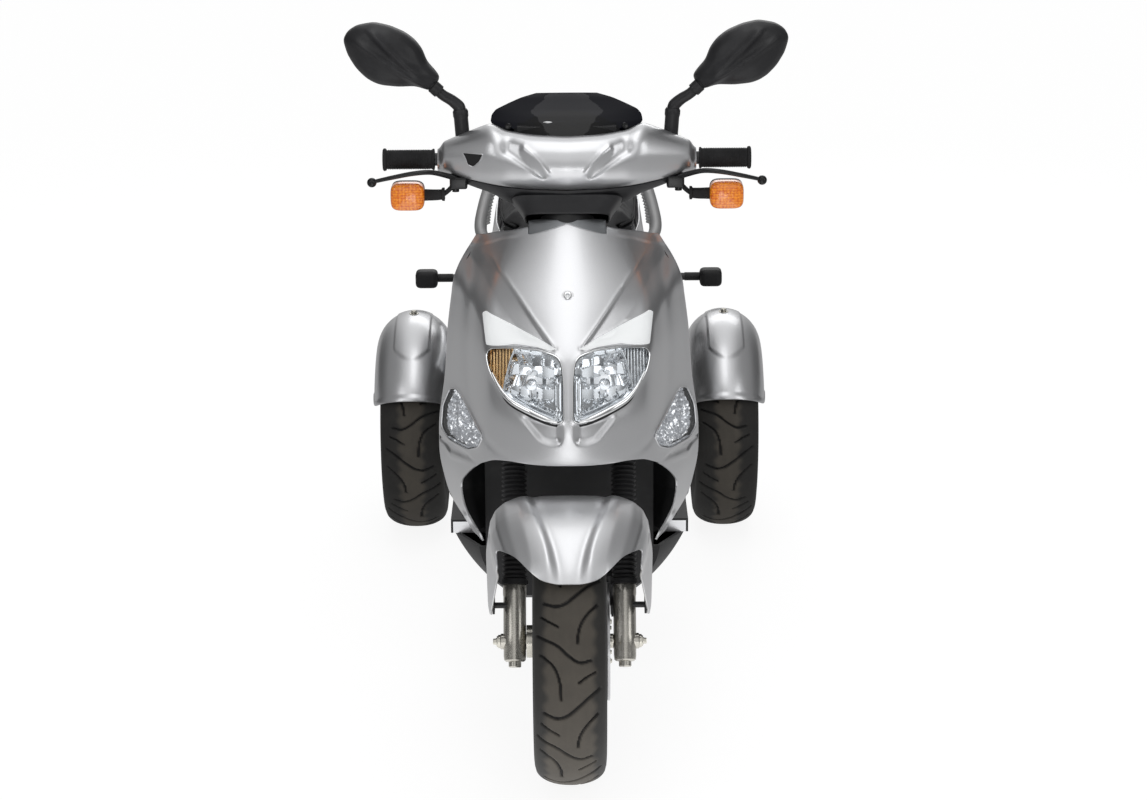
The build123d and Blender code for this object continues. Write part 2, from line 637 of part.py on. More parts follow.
def exhaust():
    """Muffler on the rider's right, its header pipe and its hanger."""
    x, radius = muffler_x, 38.0
    front_y, back_y = wheelbase - 170, wheelbase + 200
    port_y = seat_front_y + 90
    can = rod((x, front_y, 372), (x, back_y, 420), radius)
    nose = rod((x, front_y - 32, 368), (x, front_y, 372), radius - 14)
    tip = rod((x, back_y, 420), (x, back_y + 28, 424), 15)
    header = tube([(-20, port_y, 262), (-20, port_y, 176), (-150, port_y + 50, 172), (x, front_y - 90, 240),
                   (x, front_y - 28, 366)], 26, 13)
    hang_y = seat_front_y + 308
    hanger = slab(x + 30, -62, hang_y, hang_y + 12, 330, 346) + slab(x + 30, x + 44, hang_y, front_y + 20, 330, 372)
    nodes["muffler"] = (can + nose + tip + header + hanger) - nodes["engine_block"]


def rear_fenders():
    """A half-round hood over each rear tyre, held by a plate that rises from the axle tube."""
    half = rear_fender_half_width
    centre_r = rear_fender_radius - half
    start, end = rear_fender_start, rear_fender_end

    def ring(radius):
        return make_face(Wire([
            ThreePointArc((-radius, centre_r), (0, centre_r + radius), (radius, centre_r)),
            Line((radius, centre_r), (-radius, centre_r)),
        ]))

    hood = revolve(ring(half), axis=Axis.X) - revolve(ring(half - fender_wall), axis=Axis.X)
    reach = 400.0
    wedge = side_plate([
        (0, 0), (-reach * cos(radians(start)), reach * sin(radians(start))), (-reach, reach), (reach, reach),
        (-reach * cos(radians(end)), reach * sin(radians(end)))], -half, half)
    hood = (Part() + hood) & wedge
    plate_x = -rear_half_track + axle_tube_end_x
    plate = side_plate([
        (-24, 20), (-66, centre_r + 4), (-40, centre_r + 10), (40, centre_r + 10), (66, centre_r + 4), (24, 20)],
        plate_x + 4, plate_x + 10)
    collar = cross_bar(plate_x + seat_gap, plate_x + 8, 0, 0, axle_tube_radius)
    collar = collar - cross_bar(plate_x - 5, plate_x + 20, 0, 0, stub_radius + seat_gap)
    stay = (plate + collar) - cross_bar(plate_x - 5, plate_x + 20, 0, 0, stub_radius + seat_gap)
    fender = hood + stay
    for name, side in (("left", 1), ("right", -1)):
        place = Pos(side * rear_half_track, wheelbase, rear_tyre_radius)
        nodes[f"rear_fender_{name}"] = place * side_of(fender, side)


def tail_hardware():
    """Number plate hanger with a blank plate, lamp bar and rear indicators."""
    back = tail_end_y
    arm = side_plate([
        (1546, 640), (1546, 680), (1566, 680), (back - 3, 612), (back - 3, 450), (back - 8, 450), (back - 8, 596),
        (1560, 640)], -45, 45)
    tongue = slab(-40, 40, rail_end_y, 1546, 662, 680)
    plate = slab(-75, 75, back - 3, back, 452, 602)
    holes = both_sides(rod((plate_hole_x, back - 20, plate_hole_z), (plate_hole_x, back, plate_hole_z), plate_hole_radius))
    nodes["plate_hanger"] = (arm + tongue) - nodes["main_frame"]
    nodes["number_plate"] = plate - holes
    lamp_y, lamp_z = 1575.0, 466.0
    bar = cross_bar(-250, 250, lamp_y, lamp_z, 8) + slab(-20, 20, lamp_y, back - 8, lamp_z - 8, lamp_z + 8)
    nodes["lamp_bar"] = bar
    stalk = cross_bar(250, 282, lamp_y, lamp_z, 9)
    body = fillet(slab(282, 330, lamp_y - 26, lamp_y + 14, lamp_z - 19, lamp_z + 19).edges(), 7)
    nodes["rear_indicators"] = both_sides(stalk + body)


plate_hole_x = 60.0
plate_hole_z = 588.0
plate_hole_radius = 3.0

# ---------------------------------------------------------------- handlebar
# x, then y and z of the cover's top edge, its nose, its bottom edge and its rear
cover_rows = [
    (0, 345, 1014, 284, 954, 306, 931, 446, 972),
    (60, 350, 1016, 288, 955, 310, 932, 444, 972),
    (104, 364, 1021, 299, 958, 321, 934, 440, 971),
    (128, 384, 1030, 309, 961, 332, 936, 438, 970),
    (158, 392, 1016, 325, 963, 346, 940, 431, 968),
    (198, 400, 996, 348, 966, 370, 946, 424, 965),
    (221, 404, 984, 362, 967, 382, 949, 420, 964),
]


def cover_sections(draw):
    """Faces across the handlebar cover, from the rider's right end to the left."""
    rows = [(-r[0],) + r[1:] for r in reversed(cover_rows[1:])] + cover_rows
    return ruled([draw(*row) for row in rows])


def cover_full(grow):
    """The handlebar cover as a full block."""
    def section(x, ty, tz, ny, nz, by, bz, ry, rz):
        return make_face(Wire([
            ThreePointArc((x, ty, tz + grow), (x, ny - grow, nz), (x, by, bz - grow)),
            ThreePointArc((x, by, bz - grow), (x, ry + grow, rz), (x, ty, tz + grow)),
        ]))
    return cover_sections(section)


def front_half(x, ty, tz, ny, nz, by, bz, ry, rz):
    """The painted front half, a C that opens backwards."""
    w = shell_wall
    return make_face(Wire([
        ThreePointArc((x, ty, tz), (x, ny, nz), (x, by, bz)),
        Line((x, by, bz), (x, by + 1, bz + w)),
        ThreePointArc((x, by + 1, bz + w), (x, ny + w, nz), (x, ty + 1, tz - w)),
        Line((x, ty + 1, tz - w), (x, ty, tz)),
    ]))


def rear_half(x, ty, tz, ny, nz, by, bz, ry, rz):
    """The black rear half, a C that opens forwards."""
    w = shell_wall
    return make_face(Wire([
        ThreePointArc((x, by + 2, bz), (x, ry, rz), (x, ty + 2, tz)),
        Line((x, ty + 2, tz), (x, ty + 2, tz - w)),
        ThreePointArc((x, ty + 2, tz - w), (x, ry - w, rz), (x, by + 2, bz + w)),
        Line((x, by + 2, bz + w), (x, by + 2, bz)),
    ]))


def front_block(x, ty, tz, ny, nz, by, bz, ry, rz):
    """All that the front half of the cover takes in."""
    return make_face(Wire([
        ThreePointArc((x, ty, tz), (x, ny, nz), (x, by, bz)),
        Line((x, by, bz), (x, ty, tz)),
    ]))


def rear_block(x, ty, tz, ny, nz, by, bz, ry, rz):
    """All that the rear half of the cover takes in."""
    return make_face(Wire([
        ThreePointArc((x, by + 2, bz), (x, ry, rz), (x, ty + 2, tz)),
        Line((x, ty + 2, tz), (x, by + 2, bz)),
    ]))


def handlebar():
    """Bar, grips, levers, the two halves of the cover, neck, dial panel and visor."""
    bar = cross_bar(-bar_half_length, bar_half_length, bar_y, bar_z, bar_radius)
    clamp = in_fork(0, fork_offset, stem_top - 16) * Cylinder(stem_radius + 8, 32)
    clamp_block = slab(-34, 34, bar_y - 26, bar_y + 26, bar_z - 20, bar_z + 20) + clamp
    bar_bore = cross_bar(-bar_half_length, bar_half_length, bar_y, bar_z, bar_radius)
    nodes["bar_clamp"] = clamp_block - bar_bore - nodes["steering_stem"]
    nodes["steering_stem"] = nodes["steering_stem"] - bar_bore
    nodes["handlebar"] = bar

    grip = cross_bar(grip_inner_x, bar_half_length + 3, bar_y, bar_z, grip_radius)
    flanges = cross_bar(bar_half_length - 6, bar_half_length + 3, bar_y, bar_z, grip_radius + 3)
    nodes["grips"] = both_sides(grip + flanges) - bar

    full = cover_full(0)
    lever_path = [(186, 362, 938), (214, 348, 950), (246, 334, 959), (284, 331, 951), (326, 334, 941)]
    blade = tube(lever_path, 30, 5.5) + Pos(*lever_path[-1]) * Sphere(9)
    perch = slab(168, 200, 350, 384, 922, 942) + slab(168, 200, 376, 400, 930, 968)
    perch = perch - bar
    lever = (blade + perch) - full
    nodes["brake_levers"] = both_sides(lever)

    ends_open = both_sides(cross_bar(200, 240, bar_y, bar_z, grip_radius + 1))
    clear_of_bar = cross_bar(-240, 240, bar_y, bar_z, bar_radius + 1)
    nodes["cover_front"] = cover_sections(front_half) - ends_open - clear_of_bar
    rear = cover_sections(rear_half) - ends_open - clear_of_bar
    stem_gap = in_fork(0, fork_offset, 760) * Cylinder(stem_radius + 9, 200)
    nodes["cover_rear"] = rear - stem_gap

    arm_front = slab(-14, 14, 270, 330, bar_z - 6, bar_z + 2) & cover_sections(front_block)
    arm = arm_front + slab(-14, 14, 320, bar_y - 20, bar_z - 6, bar_z + 2)
    nodes["bar_clamp"] = (nodes["bar_clamp"] + arm) - nodes["cover_front"] - nodes["steering_stem"] - bar_bore

    foot = in_fork(0, fork_offset - 6, neck_foot)
    top = in_fork(0, fork_offset - 6, neck_foot + 52)
    neck = ruled([(foot * Rectangle(146, 86)).face(), (top * Rectangle(190, 104)).face()])
    neck = neck - cover_sections(front_block) - cover_sections(rear_block)
    neck = neck - in_fork(0, fork_offset, 760) * Cylinder(stem_radius + 2, 200)
    nodes["neck_cover"] = neck

    panel_box = slab(-84, 84, 362, 425, 980, 1060)
    nodes["dial_panel"] = (cover_full(9) - cover_full(0.2)) & panel_box

    # z, half width, y at the side, y at the centre
    visor_rows = [(1015, 108, 366, 346), (1034, 131, 388, 364), (1052, 122, 402, 386), (1070, 78, 414, 404),
                  (1076, 50, 420, 412)]
    faces = []
    for z, half, sy, cy in visor_rows:
        faces.append(make_face(Wire([
            ThreePointArc((-half, sy, z), (0, cy, z), (half, sy, z)),
            Line((half, sy, z), (half, sy + 3, z)),
            ThreePointArc((half, sy + 3, z), (0, cy + 3, z), (-half, sy + 3, z)),
            Line((-half, sy + 3, z), (-half, sy, z)),
        ])))
    nodes["visor"] = ruled(faces) - nodes["dial_panel"] - cover_full(1)


def mirrors():
    """Mirror stems, leaf-shaped housings and their glasses."""
    base, knee, joint = (178, 390, 996), (183, 390, 1050), (226, 384, 1090)
    stem = rod(base, knee, 12) + Pos(*knee) * Sphere(11) + rod(knee, joint, 9)
    middle = Vector(299, 388, 1146)
    lean = 36.0
    # back from the mirror's plane, half length, half width
    shell_rows = [(-34, 44, 20), (-24, 68, 36), (-8, 82, 46), (8, 84, 48)]
    sections = []
    for back, long_half, short_half in shell_rows:
        plane = Plane(origin=middle + Vector(0, back, 0), x_dir=(cos(radians(lean)), 0, sin(radians(lean))), z_dir=(0, 1, 0))
        sections.append((plane * Ellipse(long_half, short_half)).face())
    housing = ruled(sections)
    glass_plane = Plane(origin=middle + Vector(0, 8, 0), x_dir=(cos(radians(lean)), 0, sin(radians(lean))), z_dir=(0, 1, 0))
    glass = Part() + extrude((glass_plane * Ellipse(78, 42)).face(), amount=2, dir=(0, 1, 0))
    inside = middle + Vector(0, -8, 0)
    whole = (stem + rod(joint, inside, 9) + housing) - cover_full(1)
    for name, side in (("left", 1), ("right", -1)):
        nodes[f"mirror_{name}"] = side_of(whole, side)
    nodes["mirror_glasses"] = both_sides(glass)


def front_indicators():
    """Amber lamps on short stalks below the bar."""
    y, z = 360.0, 912.0
    stalk = cross_bar(205, 242, y, z, 9.5)
    stay = rod((208, y, z + 2), (194, y + 4, 928), 4)
    nodes["indicator_stalks"] = both_sides((stalk + stay) - nodes["brake_levers"])
    lens = fillet(slab(242, 301, y - 24, y + 20, z - 22, z + 22).edges(), 9)
    nodes["front_indicators"] = both_sides(lens)


def export():
    """Writes every node, moved so that the origin is at the middle of the length."""
    os.makedirs("parts", exist_ok=True)
    for name, shape in nodes.items():
        moved = Pos(0, front_axle_y, 0) * shape
        export_step(Compound(moved.solids()) if len(moved.solids()) > 1 else moved.solids()[0], f"parts/{name}.step")


front_wheel()
rear_wheels()
fork()
front_fender()
leg_shield()
splash_guard()
floor()
frame()
rear_body()
seat()
grab_rail()
engine()
rear_axle()
exhaust()
rear_fenders()
tail_hardware()
handlebar()
mirrors()
front_indicators()
export()
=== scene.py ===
# %% [markdown]
# # Three-wheeled scooter
# A scooter with one steered front wheel and two rear wheels, each under its own half-round
# mudguard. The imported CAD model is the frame: it fixes every size, every joint and what touches
# what. This script dresses it. Painted panels are drawn again as dense surfaces from the same
# measurements, because lacquer shows every flat facet. Machined pieces keep their CAD form and
# get a finish. Tables are in millimetres, measured back from the front axle.

# %%
# Load the frame
import math

import bmesh
import bpy
import numpy as np
from mathutils import Matrix, Vector


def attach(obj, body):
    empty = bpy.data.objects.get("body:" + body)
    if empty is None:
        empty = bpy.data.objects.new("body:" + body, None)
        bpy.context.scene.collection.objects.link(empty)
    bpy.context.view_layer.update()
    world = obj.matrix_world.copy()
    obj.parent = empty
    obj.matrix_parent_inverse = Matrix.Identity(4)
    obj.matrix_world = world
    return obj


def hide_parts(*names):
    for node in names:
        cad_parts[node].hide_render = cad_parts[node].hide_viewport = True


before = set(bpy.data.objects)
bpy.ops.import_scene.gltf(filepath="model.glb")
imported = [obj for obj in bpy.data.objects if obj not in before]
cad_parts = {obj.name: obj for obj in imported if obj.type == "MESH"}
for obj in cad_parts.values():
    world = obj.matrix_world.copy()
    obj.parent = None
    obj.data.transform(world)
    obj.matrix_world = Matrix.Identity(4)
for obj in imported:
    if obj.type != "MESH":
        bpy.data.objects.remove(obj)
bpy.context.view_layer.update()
front_axle_y = -0.699
wheelbase, rear_half_track = 1320.0, 321.0
axle_height, rear_axle_height = 236.0, 218.0
caster, steering_offset = math.radians(26.0), 31.0
stem_way = np.array([0, math.sin(caster), math.cos(caster)])
# the world's origin in the tables' measure: a piece that is to be copied is drawn there
origin = np.array([0, -front_axle_y * 1000, 0])
both_sides = (("left", 1), ("right", -1))

# %% [markdown]
# ## Drawing tools
# A painted panel is pressed or moulded from one sheet, so it is drawn as one sheet too: a grid of
# points that becomes a surface, then gets a wall and a small rounded edge. Round bars follow a
# path, turned pieces follow a profile, and what repeats is left to Geometry Nodes further down.


# %%
# Grids, bars and turned forms
def metres(points):
    """(x, y behind the front axle, z) in millimetres -> the frame, in metres."""
    p = np.array(points, float) / 1000.0
    p[..., 1] += front_axle_y
    return p


def rear_centre(side):
    """The middle of a rear wheel; side is 1 on the left and -1 on the right."""
    return np.array([side * rear_half_track, wheelbase, rear_axle_height])


def linked(name, me):
    """A new object in the scene."""
    obj = bpy.data.objects.new(name, me)
    bpy.context.scene.collection.objects.link(obj)
    return obj


def crease(me, angle=38):
    """Keeps edges sharper than an angle sharp."""
    me.set_sharp_from_angle(angle=math.radians(angle))


def make(name, verts, faces, uv=None, sharp=38):
    """A mesh object from points in millimetres."""
    me = bpy.data.meshes.new(name)
    me.from_pydata(metres(verts).reshape(-1, 3).tolist(), [], [list(f) for f in faces])
    if uv is not None:
        layer = me.uv_layers.new(name="UVMap")
        loops = np.empty(len(me.loops), np.int32)
        me.loops.foreach_get("vertex_index", loops)
        layer.data.foreach_set("uv", np.asarray(uv, float).reshape(-1, 2)[loops].ravel())
    me.shade_smooth()
    crease(me, sharp)
    return linked(name, me)


def quads(nu, nv, wrap_v=False):
    """Faces of a grid of nu by nv points."""
    u = np.arange(nu - 1)[:, None]
    v = np.arange(nv if wrap_v else nv - 1)[None, :]
    v1 = (v + 1) % nv
    return np.stack([u * nv + v, (u + 1) * nv + v, (u + 1) * nv + v1, u * nv + v1], -1).reshape(-1, 4)


def grid(name, points, wrap_v=False, flip=False, sharp=38, keep=None, caps=False):
    """A surface through points[nu, nv, 3]."""
    nu, nv = points.shape[:2]
    faces = quads(nu, nv, wrap_v)
    if flip:
        faces = faces[:, ::-1]
    if keep is not None:
        faces = faces[keep]
    faces = faces.tolist()
    if caps:
        first, last = list(range(nv)), list(range((nu - 1) * nv, nu * nv))
        faces += [first if flip else first[::-1], last[::-1] if flip else last]
    uv = np.stack(np.meshgrid(np.linspace(0, 1, nu), np.linspace(0, 1, nv), indexing="ij"), -1)
    obj = make(name, points.reshape(-1, 3), faces, uv, sharp)
    if keep is not None:
        with edited(obj) as bm:
            bmesh.ops.delete(bm, geom=[v for v in bm.verts if not v.link_faces], context="VERTS")
    if caps:
        with edited(obj) as bm:
            bmesh.ops.recalc_face_normals(bm, faces=bm.faces[:])
    return obj


class edited:
    """Opens an object's mesh for a change and writes it back."""

    def __init__(self, obj):
        self.obj = obj

    def __enter__(self):
        self.bm = bmesh.new()
        self.bm.from_mesh(self.obj.data)
        return self.bm

    def __exit__(self, *problem):
        self.bm.to_mesh(self.obj.data)
        self.bm.free()


def bake(obj):
    """Applies the object's modifiers."""
    depsgraph = bpy.context.evaluated_depsgraph_get()
    me = bpy.data.meshes.new_from_object(obj.evaluated_get(depsgraph))
    obj.modifiers.clear()
    obj.data = me
    return obj


def thicken(obj, wall, rim):
    """Gives a surface a wall, inwards, with a small rounded edge."""
    solid = obj.modifiers.new("wall", "SOLIDIFY")
    solid.thickness, solid.offset, solid.use_even_offset = wall / 1000, -1, False
    if rim:
        bevel = obj.modifiers.new("rim", "BEVEL")
        bevel.width, bevel.segments, bevel.angle_limit = rim / 1000, 2, math.radians(50)
    bake(obj)
    crease(obj.data)
    return obj


def bell(sigma, reach):
    """Gaussian weights from -reach to reach."""
    k = np.exp(-0.5 * (np.arange(-reach, reach + 1) / sigma) ** 2)
    return k / k.sum()


def soften(values, sigma, axis=0):
    """Gaussian smoothing of an array along one axis, the ends mirrored through themselves."""
    values = np.moveaxis(np.asarray(values, float), axis, 0)
    n = min(int(3 * sigma) + 1, len(values) - 1)
    head = 2 * values[0] - values[n:0:-1]
    tail = 2 * values[-1] - values[-2:-n - 2:-1]
    padded = np.concatenate([head, values, tail])
    out = sum(w * padded[i:i + len(values)] for i, w in enumerate(bell(sigma, n)))
    return np.moveaxis(out, 0, axis)


def along(rows, at):
    """A table read at other values of its first column."""
    rows = np.array(rows, float)
    return np.stack([np.interp(at, rows[:, 0], rows[:, k]) for k in range(1, rows.shape[1])], -1)


def table(rows, at):
    """A two-column table read at a value."""
    return along(rows, at)[..., 0]


def step(value, edge, width):
    """0 below edge, 1 above edge + width, smooth between."""
    t = np.clip((value - edge) / width, 0, 1)
    return t * t * (3 - 2 * t)


def hump(value, width):
    """1 where value is 0, falling away over width."""
    return np.exp(-(value / width) ** 2)


def spline(points, count):
    """A smooth curve through points."""
    p = np.array(points, float)
    q = np.concatenate([[2 * p[0] - p[1]], p, [2 * p[-1] - p[-2]]])
    t = np.linspace(0, len(p) - 1 - 1e-9, count)
    k, f = t.astype(int), (t % 1)[:, None]
    a, b, c, d = q[k], q[k + 1], q[k + 2], q[k + 3]
    square, cube = (2 * a - 5 * b + 4 * c - d) * f ** 2, (3 * b - a - 3 * c + d) * f ** 3
    return 0.5 * (2 * b + (c - a) * f + square + cube)


def tube(name, path, radii, sides, smooth=True, count=None, squash=1.0):
    """A round bar along a path; radii is one radius or one for each point."""
    path = np.array(path, float)
    radii = np.ones(len(path)) * np.array(radii, float)
    if smooth:
        count = count or 8 * len(path)
        t = np.linspace(0, len(path) - 1, count)
        radii = np.interp(t, np.arange(len(path)), radii)
        path = spline(path, count)
    tangent = np.gradient(path, axis=0)
    tangent /= np.linalg.norm(tangent, axis=1)[:, None]
    side = np.cross(tangent[0], (0, 0, 1.0))
    if np.linalg.norm(side) < 0.1:
        side = np.cross(tangent[0], (0, 1.0, 0))
    rings = []
    angles = np.linspace(0, 2 * np.pi, sides, endpoint=False)
    for p, t, r in zip(path, tangent, radii):
        side = side - t * (side @ t)
        side /= np.linalg.norm(side)
        up = np.cross(side, t)
        rings.append(p + r * (np.cos(angles)[:, None] * side + squash * np.sin(angles)[:, None] * up))
    return grid(name, np.array(rings), wrap_v=True, caps=True)


def lathe(name, profile, middle, axis, sides, sharp=38):
    """A turned form: profile of (radius, along) about an axis through a point."""
    axis = np.array(axis, float) / np.linalg.norm(axis)
    side = np.cross(axis, (0, 0, 1.0) if abs(axis[2]) < 0.9 else (0, 1.0, 0))
    side /= np.linalg.norm(side)
    up = np.cross(axis, side)
    a = np.linspace(0, 2 * np.pi, sides, endpoint=False)
    circle = np.cos(a)[:, None] * side + np.sin(a)[:, None] * up
    rings = [np.array(middle, float) + axis * z + r * circle for r, z in profile]
    return grid(name, np.array(rings), wrap_v=True, sharp=sharp, caps=True)


def block(name, low, high, corner, segments=4):
    """A block between two corners, with rounded edges."""
    low, high = np.array(low, float), np.array(high, float)
    bm = bmesh.new()
    bmesh.ops.create_cube(bm, size=1.0)
    for v in bm.verts:
        v.co = Vector(metres((low + high) / 2 + np.array(v.co) * (high - low)))
    bmesh.ops.bevel(bm, geom=bm.edges[:], offset=corner / 1000, segments=segments, profile=0.6,
                    affect="EDGES")
    me = bpy.data.meshes.new(name)
    bm.to_mesh(me)
    bm.free()
    me.shade_smooth()
    crease(me)
    return linked(name, me)


def plate(name, outline, axis, low, high, corner=0.8):
    """A flat plate: an outline in the plane across an axis, between two levels."""
    outline = np.array(outline, float)
    order = {"x": (2, 0, 1), "y": (0, 2, 1), "z": (0, 1, 2)}[axis]
    rings = []
    for level in (low, high):
        p = np.concatenate([outline, np.full((len(outline), 1), level)], axis=1)
        rings.append(p[:, order])
    obj = grid(name, np.array(rings), wrap_v=True, caps=True)
    with edited(obj) as bm:
        edges = [e for e in bm.edges if e.calc_face_angle(0) > 0.5]
        bmesh.ops.bevel(bm, geom=edges, offset=corner / 1000, segments=2, profile=0.6, affect="EDGES")
    crease(obj.data)
    return obj


def join(name, objects):
    """Several pieces as one object."""
    bm = bmesh.new()
    slots = []
    for o in objects:
        slots += [m for m in o.data.materials if m not in slots]
    for o in objects:
        before = len(bm.faces)
        bm.from_mesh(o.data)
        bm.faces.ensure_lookup_table()
        index = {i: slots.index(m) for i, m in enumerate(o.data.materials)}
        for face in bm.faces[before:]:
            face.material_index = index.get(face.material_index, 0)
    me = bpy.data.meshes.new(name)
    bm.to_mesh(me)
    bm.free()
    for material in slots:
        me.materials.append(material)
    for o in objects:
        bpy.data.objects.remove(o)
    return linked(name, me)


def other_side(obj, name, keep=True):
    """The same piece on the other side of the centre plane."""
    me = obj.data.copy()
    me.transform(Matrix.Scale(-1, 4, (1, 0, 0)))
    me.flip_normals()
    if not keep:
        bpy.data.objects.remove(obj)
    return linked(name, me)


def place(obj, body, material=None, replaces=()):
    """Gives a piece its body and its material, and hides the CAD nodes that it stands for."""
    if material is not None:
        obj.data.materials.clear()
        obj.data.materials.append(material)
    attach(obj, body)
    if replaces:
        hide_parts(*replaces)
    return obj


def place_pair(obj, body, material=None, replaces=()):
    """Places a piece and its mirror image, named _left and _right."""
    right = other_side(obj, obj.name + "_right")
    obj.name = obj.name + "_left"
    place(obj, body, material, replaces)
    place(right, body, material)
    return obj, right


def finish_node(name, material):
    """A CAD node that keeps its form and gets a material."""
    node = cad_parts[name]
    node.data.materials.clear()
    node.data.materials.append(material)


def fork(x, back, up):
    """A point in the fork's frame: back from the legs, up along them from the axle."""
    return (x, back * math.cos(caster) + up * math.sin(caster),
            axle_height - back * math.sin(caster) + up * math.cos(caster))


print("drawing tools ready")

# %% [markdown]
# ## Node trees
# Every node comes from one method that takes its type, its settings and what its sockets hold.
# A socket that it gives back can be added, multiplied or taken from 1 like a number, so a finish
# reads as the sum it is.


# %%
# One way to make any node
class Socket:
    """The output of a node, with arithmetic."""

    def __init__(self, nodes, socket):
        self.nodes, self.socket = nodes, socket

    def combine(self, operation, a, b):
        """A maths node, made for vectors where either side is one."""
        many = any(isinstance(v, tuple) or isinstance(v, Socket) and v.socket.type in ("RGBA", "VECTOR")
                   for v in (a, b))
        kind = "ShaderNodeVectorMath" if many else "ShaderNodeMath"
        return self.nodes.add(kind, {"operation": operation}, {0: a, 1: b})

    def __add__(self, other):
        return self.combine("ADD", self, other)

    def __radd__(self, other):
        return self.combine("ADD", other, self)

    def __sub__(self, other):
        return self.combine("SUBTRACT", self, other)

    def __rsub__(self, other):
        return self.combine("SUBTRACT", other, self)

    def __mul__(self, other):
        return self.combine("MULTIPLY", self, other)

    def __rmul__(self, other):
        return self.combine("MULTIPLY", other, self)

    def function(self, operation):
        """Sine, absolute value and the like."""
        return self.nodes.add("ShaderNodeMath", {"operation": operation}, {0: self})

    def rise(self, edge, width):
        """0 below edge, 1 above edge + width, smooth between."""
        return self.nodes.add("ShaderNodeMapRange", {"interpolation_type": "SMOOTHSTEP"},
                              {"Value": self, "From Min": edge, "From Max": edge + width})


class Nodes:
    """A node tree that is filled through add()."""

    def __init__(self, tree):
        self.tree = tree
        tree.nodes.clear()

    def add(self, kind, settings=None, values=None, output=0):
        """Makes a node from its settings and what its inputs hold, and gives back one output."""
        node = self.tree.nodes.new(kind)
        for name, value in (settings or {}).items():
            setattr(node, name, value)
        for name, value in (values or {}).items():
            self.plug(node.inputs[name], value)
        return Socket(self, node.outputs[output]) if node.outputs else node

    def plug(self, socket, value):
        """Links an input or sets its value."""
        if isinstance(value, Socket):
            self.tree.links.new(value.socket, socket)
        elif socket.type == "RGBA" and len(value) == 3:
            socket.default_value = (*value, 1)
        elif socket.type == "VECTOR" and isinstance(value, (int, float)):
            socket.default_value = (value, value, value)
        else:
            socket.default_value = value

    def mix(self, a, b, factor):
        """Colour a where factor is 0, colour b where it is 1."""
        return self.add("ShaderNodeMix", {"data_type": "RGBA"}, {0: factor, 6: a, 7: b}, 2)


class Finish(Nodes):
    """A material: a Principled BSDF and what feeds it."""

    def __init__(self, name, **inputs):
        self.material = bpy.data.materials.new(name)
        self.material.use_nodes = True
        super().__init__(self.material.node_tree)
        self.surface = self.add("ShaderNodeBsdfPrincipled")
        self.bsdf = self.surface.socket.node
        self.output = self.add("ShaderNodeOutputMaterial", values={"Surface": self.surface})
        self.set(**inputs)

    def set(self, **inputs):
        """Feeds inputs of the Principled BSDF, spaces in their names written as underscores."""
        for name, value in inputs.items():
            self.plug(self.bsdf.inputs[name.replace("_", " ")], value)

    def place(self, scale=(1, 1, 1)):
        """The surface point, in metres, stretched along the axes."""
        point = self.add("ShaderNodeTexCoord", output="Object")
        return point if scale == (1, 1, 1) else point * scale

    def part(self, axis):
        """One coordinate of the surface point."""
        return self.add("ShaderNodeSeparateXYZ", values={0: self.place()}, output="XYZ".index(axis))

    def noise(self, scale, detail=3.0, at=None):
        values = {"Vector": at or self.place(), "Scale": scale, "Detail": detail}
        return self.add("ShaderNodeTexNoise", values=values)

    def cells(self, scale):
        return self.add("ShaderNodeTexVoronoi", values={"Vector": self.place(), "Scale": scale})

    def waves(self, axis, pitch):
        """Ribs across an axis, pitch metres apart, between -1 and 1."""
        return (self.part(axis) * (2 * math.pi / pitch)).function("SINE")

    def mark(self, name):
        """A value that the mesh carries for each point."""
        return self.add("ShaderNodeAttribute", {"attribute_name": name}, output="Fac")

    def bump(self, height, depth, strength):
        """Bump from a height of 0 to 1 that stands for depth millimetres."""
        values = {"Height": height, "Distance": depth / 1000, "Strength": strength}
        self.set(Normal=self.add("ShaderNodeBump", values=values))


class Repeat(Nodes):
    """A Geometry Nodes tree whose sizes are named inputs."""

    kinds = {int: "NodeSocketInt", float: "NodeSocketFloat", tuple: "NodeSocketVector"}

    def __init__(self, name, **sizes):
        group = bpy.data.node_groups.new(name, "GeometryNodeTree")
        super().__init__(group)
        face = group.interface
        face.new_socket("Geometry", in_out="OUTPUT", socket_type="NodeSocketGeometry")
        face.new_socket("Geometry", in_out="INPUT", socket_type="NodeSocketGeometry")
        for key, value in sizes.items():
            face.new_socket(key, in_out="INPUT", socket_type=self.kinds[type(value)])
        face.new_socket("Finish", in_out="INPUT", socket_type="NodeSocketMaterial")
        self.sizes, self.group = sizes, group
        self.entry = group.nodes.new("NodeGroupInput")

    def given(self, name):
        return Socket(self, self.entry.outputs[name])

    def copies(self, points, piece, **values):
        """The piece on every point."""
        values = {"Points": points, "Instance": piece, **values}
        return self.add("GeometryNodeInstanceOnPoints", values=values)

    def close(self, copies):
        """Real copies, with their finish."""
        real = self.add("GeometryNodeRealizeInstances", values={0: copies})
        values = {"Geometry": real, "Material": self.given("Finish")}
        self.add("NodeGroupOutput", values={0: self.add("GeometryNodeSetMaterial", values=values)})

    def run(self, obj, finish):
        """Feeds the tree its sizes and bakes what it gives into the object."""
        modifier = obj.modifiers.new(self.group.name, "NODES")
        modifier.node_group = self.group
        given = {**self.sizes, "Finish": finish}
        for item in self.group.interface.items_tree:
            if item.in_out == "INPUT" and item.name in given:
                modifier[item.identifier] = given[item.name]
        bake(obj)
        obj.data.shade_smooth()
        crease(obj.data)
        return obj


